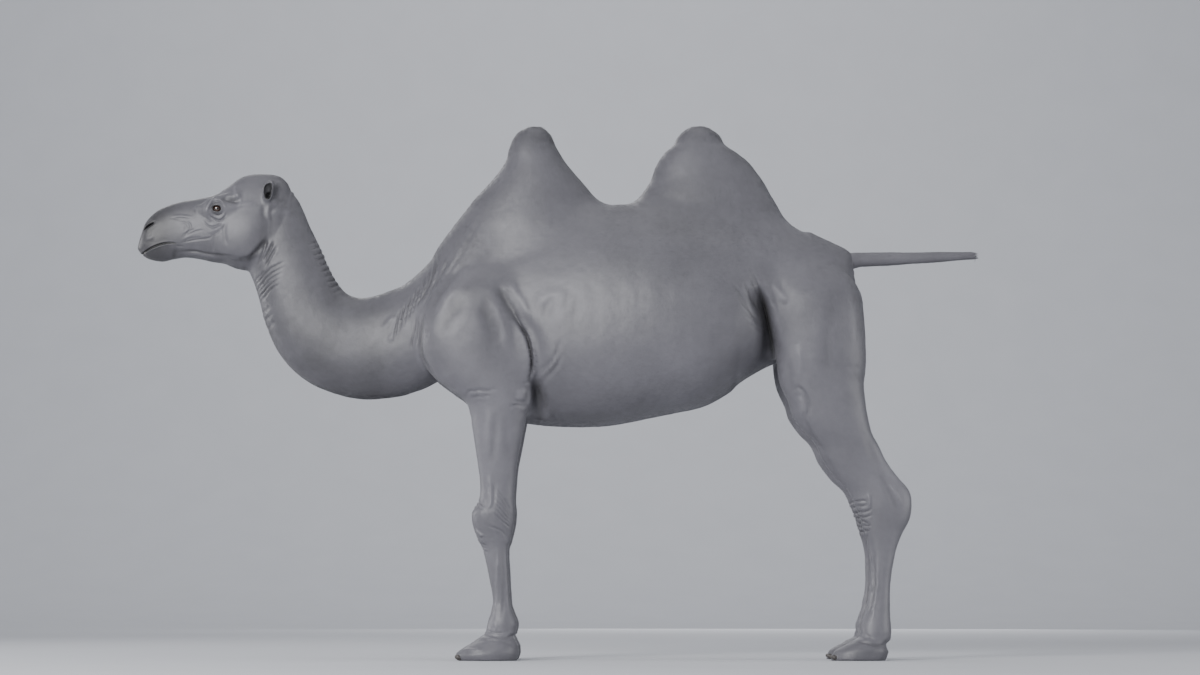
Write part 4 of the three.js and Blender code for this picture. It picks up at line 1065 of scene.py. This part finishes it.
class Surface:
    """A material with one shader, to which nodes are added."""

    def __init__(self, name, **settings):
        self.material = bpy.data.materials.new(name)
        self.material.use_nodes = True
        self.material.node_tree.nodes.clear()
        self.shader = self.add("BsdfPrincipled", **settings)
        self.add("OutputMaterial", Surface=self.shader.outputs[0])
        self.place = self.add("TexCoord").outputs["Object"]

    def put(self, value, socket):
        if isinstance(value, bpy.types.NodeSocket):
            self.material.node_tree.links.new(value, socket)
        else:
            socket.default_value = value

    def add(self, kind, **settings):
        """A new node. Its settings are its own properties or, by their names, its sockets."""
        node = self.material.node_tree.nodes.new("ShaderNode" + kind)
        for key, value in settings.items():
            if hasattr(node, key):
                setattr(node, key, value)
            else:
                self.put(value, node.inputs[key.replace("_", " ")])
        return node

    def math(self, operation, *values, kind="Math", output=0):
        node = self.add(kind, operation=operation)
        for value, socket in zip(values, node.inputs):
            self.put(value, socket)
        return node.outputs[output]

    def attribute(self, name):
        return self.add("Attribute", attribute_name=name).outputs["Fac"]

    def noise(self, scale, detail=3, roughness=0.6, stretch=(1, 1, 1)):
        place = self.place
        if stretch != (1, 1, 1):
            place = self.add("Mapping", Vector=place, Scale=stretch).outputs[0]
        node = self.add("TexNoise", Scale=scale, Detail=detail, Roughness=roughness, Vector=place)
        return node.outputs["Fac"]

    def ramp(self, value, *stops):
        node = self.add("ValToRGB")
        elements = node.color_ramp.elements
        for element, (place, colour) in zip(elements, (stops[0], stops[-1])):
            element.position, element.color = place, (*colour, 1)
        for place, colour in stops[1:-1]:
            elements.new(place).color = (*colour, 1)
        self.put(value, node.inputs[0])
        return node.outputs[0]

    def colour(self, value):
        self.put(value, self.shader.inputs["Base Color"])

    def bump(self, height, strength, distance):
        node = self.add("Bump", Strength=strength, Distance=distance, Height=height)
        self.put(node.outputs[0], self.shader.inputs["Normal"])


COAT_STOPS = [(0.0, (0.006, 0.0055, 0.0055)), (0.22, (0.033, 0.032, 0.036)), (0.5, (0.087, 0.085, 0.097)),
              (0.75, (0.131, 0.128, 0.145)), (1.0, (0.193, 0.189, 0.210))]
IRIS_STOPS = [(0.0, (0.075, 0.030, 0.012)), (0.55, (0.045, 0.018, 0.008)), (0.86, (0.012, 0.006, 0.004)),
              (0.97, (0.035, 0.026, 0.021)), (1.0, (0.05, 0.038, 0.032))]
PUPIL_STOPS = [(0.0, (0, 0, 0)), (0.88, (0, 0, 0)), (1.0, (1, 1, 1))]
HORN_STOPS = [(0.3, (0.024, 0.021, 0.020)), (0.55, (0.060, 0.053, 0.050)), (0.75, (0.125, 0.115, 0.110))]
STUDIO_STOPS = [(0.3, (0.452, 0.460, 0.488)), (0.7, (0.466, 0.474, 0.502))]
IRIS_SIZE, PUPIL_SIZE = (0.0145, 0.0145), (0.0085, 0.0052)


def coat_material(name):
    """The coat's colour and sheen, as on the tufts."""
    coat = Surface(name, Roughness=0.44, Sheen_Weight=0.06, Sheen_Roughness=0.5, Specular_IOR_Level=0.5)
    mottle = coat.math("MULTIPLY_ADD", coat.noise(38, detail=5), 0.16, -0.08)
    grain = coat.math("MULTIPLY_ADD", coat.noise(420), 0.14, -0.07)
    shade = coat.math("ADD", coat.attribute("tone"), coat.math("ADD", mottle, grain))
    coat.colour(coat.ramp(shade, *COAT_STOPS))
    return coat


def skin_material():
    """The coat's colour on the skin, with fine strands that run along the body or down, as the hair does."""
    skin = coat_material("skin")
    along, upright = (skin.noise(650, stretch=stretch) for stretch in ((0.12, 1, 1), (1, 1, 0.12)))
    turn = skin.math("MULTIPLY", skin.attribute("down"), skin.math("SUBTRACT", upright, along))
    crease = skin.add("TexVoronoi", feature="DISTANCE_TO_EDGE", Scale=95, Vector=skin.place)
    cut = skin.math("MINIMUM", crease.outputs["Distance"], 0.09)
    height = skin.math("ADD", skin.math("ADD", along, turn), skin.math("MULTIPLY", cut, 1.6))
    skin.bump(height, 0.5, 0.0009)
    return skin.material


def eye_material():
    """A dark brown eye with a level oval pupil; both eyes look out to the side."""
    eye = Surface("eye", Roughness=0.08, Coat_Weight=1, Coat_Roughness=0.02)

    def ring(sizes):
        """How far from the eye's middle each place lies, and 1 at the sizes."""
        offset = eye.math("SUBTRACT", eye.place, (EYE[0] * MM, 0, EYE[2] * MM), kind="VectorMath")
        scaled = eye.math("MULTIPLY", offset, (1 / sizes[0], 0, 1 / sizes[1]), kind="VectorMath")
        return eye.math("LENGTH", scaled, kind="VectorMath", output="Value")

    jitter = eye.math("MULTIPLY_ADD", eye.noise(900, detail=4, roughness=0.7), 0.16, -0.08)
    mix = eye.add("Mix", data_type="RGBA", blend_type="MULTIPLY", Factor=1)
    eye.put(eye.ramp(eye.math("ADD", ring(IRIS_SIZE), jitter), *IRIS_STOPS), mix.inputs[6])
    eye.put(eye.ramp(ring(PUPIL_SIZE), *PUPIL_STOPS), mix.inputs[7])
    eye.colour(mix.outputs[2])
    return eye.material


def horn_material():
    horn = Surface("horn", Roughness=0.42)
    growth = horn.noise(120, detail=5, stretch=(1, 0.35, 2.2))
    horn.colour(horn.ramp(growth, *HORN_STOPS))
    horn.bump(growth, 0.4, 0.001)
    return horn.material


def studio_material():
    studio = Surface("studio", Roughness=0.9)
    studio.colour(studio.ramp(studio.noise(3, detail=4, roughness=0.5), *STUDIO_STOPS))
    return studio.material


# ---- Stage, light and camera, in metres ----

FLOOR_START, FLOOR_END, CURVE, WALL_TOP, HALF_WIDTH = -13, 14, 6, 16, 30
# Each light's place, what it is aimed at, its size and its power.
LIGHTS = dict(
    key=((-4.6, -9.0, 4.5), (0, 0, 1.2), 4.0, 1180),
    fill=((8.0, -3.0, 1.6), (0.4, 0, 1.1), 4.0, 230),
    top=((0.4, -0.5, 7.0), (0, 0, 1.2), 5.0, 70),
    rim=((-7.0, 0.5, 1.8), (-1.0, 0, 1.1), 2.5, 200),
    back=((-2.0, 5.0, 5.0), (0, 0, 1.4), 4.0, 110),
    wall=((0.0, 10.0, 11.0), (0, 19.8, 6.5), 5.0, 930),
    far=((1.5, 11.0, 2.5), (0.2, 0, 1.1), 6.0, 100),
)


def make_stage():
    """A pale floor that runs up into a plain wall, far enough behind for a camera to stand in front of it."""
    profile = [(FLOOR_START, 0), (FLOOR_END, 0)]
    profile += [(FLOOR_END + CURVE * math.sin(a), CURVE - CURVE * math.cos(a))
                for a in np.linspace(0.1, math.pi / 2, 14)]
    profile += [(FLOOR_END + CURVE, WALL_TOP)]
    points = [(x, y, z) for y, z in profile for x in (-HALF_WIDTH, HALF_WIDTH)]
    faces = [(2 * i, 2 * i + 1, 2 * i + 3, 2 * i + 2) for i in range(len(profile) - 1)]
    mesh = bpy.data.meshes.new("studio")
    mesh.from_pydata(points, [], faces)
    mesh.polygons.foreach_set("use_smooth", np.ones(len(faces), bool))
    mesh.materials.append(studio_material())
    floor = bpy.data.objects.new("studio", mesh)
    bpy.context.scene.collection.objects.link(floor)


def aim(thing, place, target):
    thing.location = place
    x, y, z = (b - a for a, b in zip(place, target))
    thing.rotation_euler = (math.atan2(math.hypot(x, y), -z), 0, math.atan2(-x, y))


def make_lights():
    for name, (place, target, size, power) in LIGHTS.items():
        data = bpy.data.lights.new(name, "AREA")
        data.shape, data.size, data.energy = "DISK", size, power
        light = bpy.data.objects.new(name, data)
        light.visible_camera = False
        bpy.context.scene.collection.objects.link(light)
        aim(light, place, target)
    world = bpy.data.worlds.new("studio")
    world.use_nodes = True
    sky = world.node_tree.nodes["Background"].inputs
    sky["Color"].default_value = (0.62, 0.64, 0.68, 1)
    sky["Strength"].default_value = 0.78
    bpy.context.scene.world = world


def make_camera():
    data = bpy.data.cameras.new("camera")
    data.lens, data.sensor_width, data.clip_end = 111.1, 36, 80
    camera = bpy.data.objects.new("camera", data)
    bpy.context.scene.collection.objects.link(camera)
    aim(camera, (0.172, -15, 0.29), (0.172, 0, 1.304))
    bpy.context.scene.camera = camera


# ---- The model ----

for thing in [o for o in bpy.context.scene.objects if o.name in ("Cube", "Light", "Camera")]:
    bpy.data.objects.remove(thing)

vertices, normals, quads, heights = make_skin()
tone = tones(vertices, heights)
chart, skin_uv, lie = lay_hair(vertices, quads)
skin = add_piece("skin", vertices, quads, skin_material(), "coat", uv=skin_uv, tone=tone,
                 down=smoothstep(0.3, 0.8, np.abs(lie[:, 2])))
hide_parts(*[n for n in frame["nodes"] if not n.startswith("eye_") and "nail" not in n])

hair = coat_material("hair").material
make_coat(vertices, quads, normals, chart, lie, tone, hair)
make_lashes(hair)
make_eyes(eye_material())
make_nails(horn_material())

make_stage()
make_lights()
make_camera()
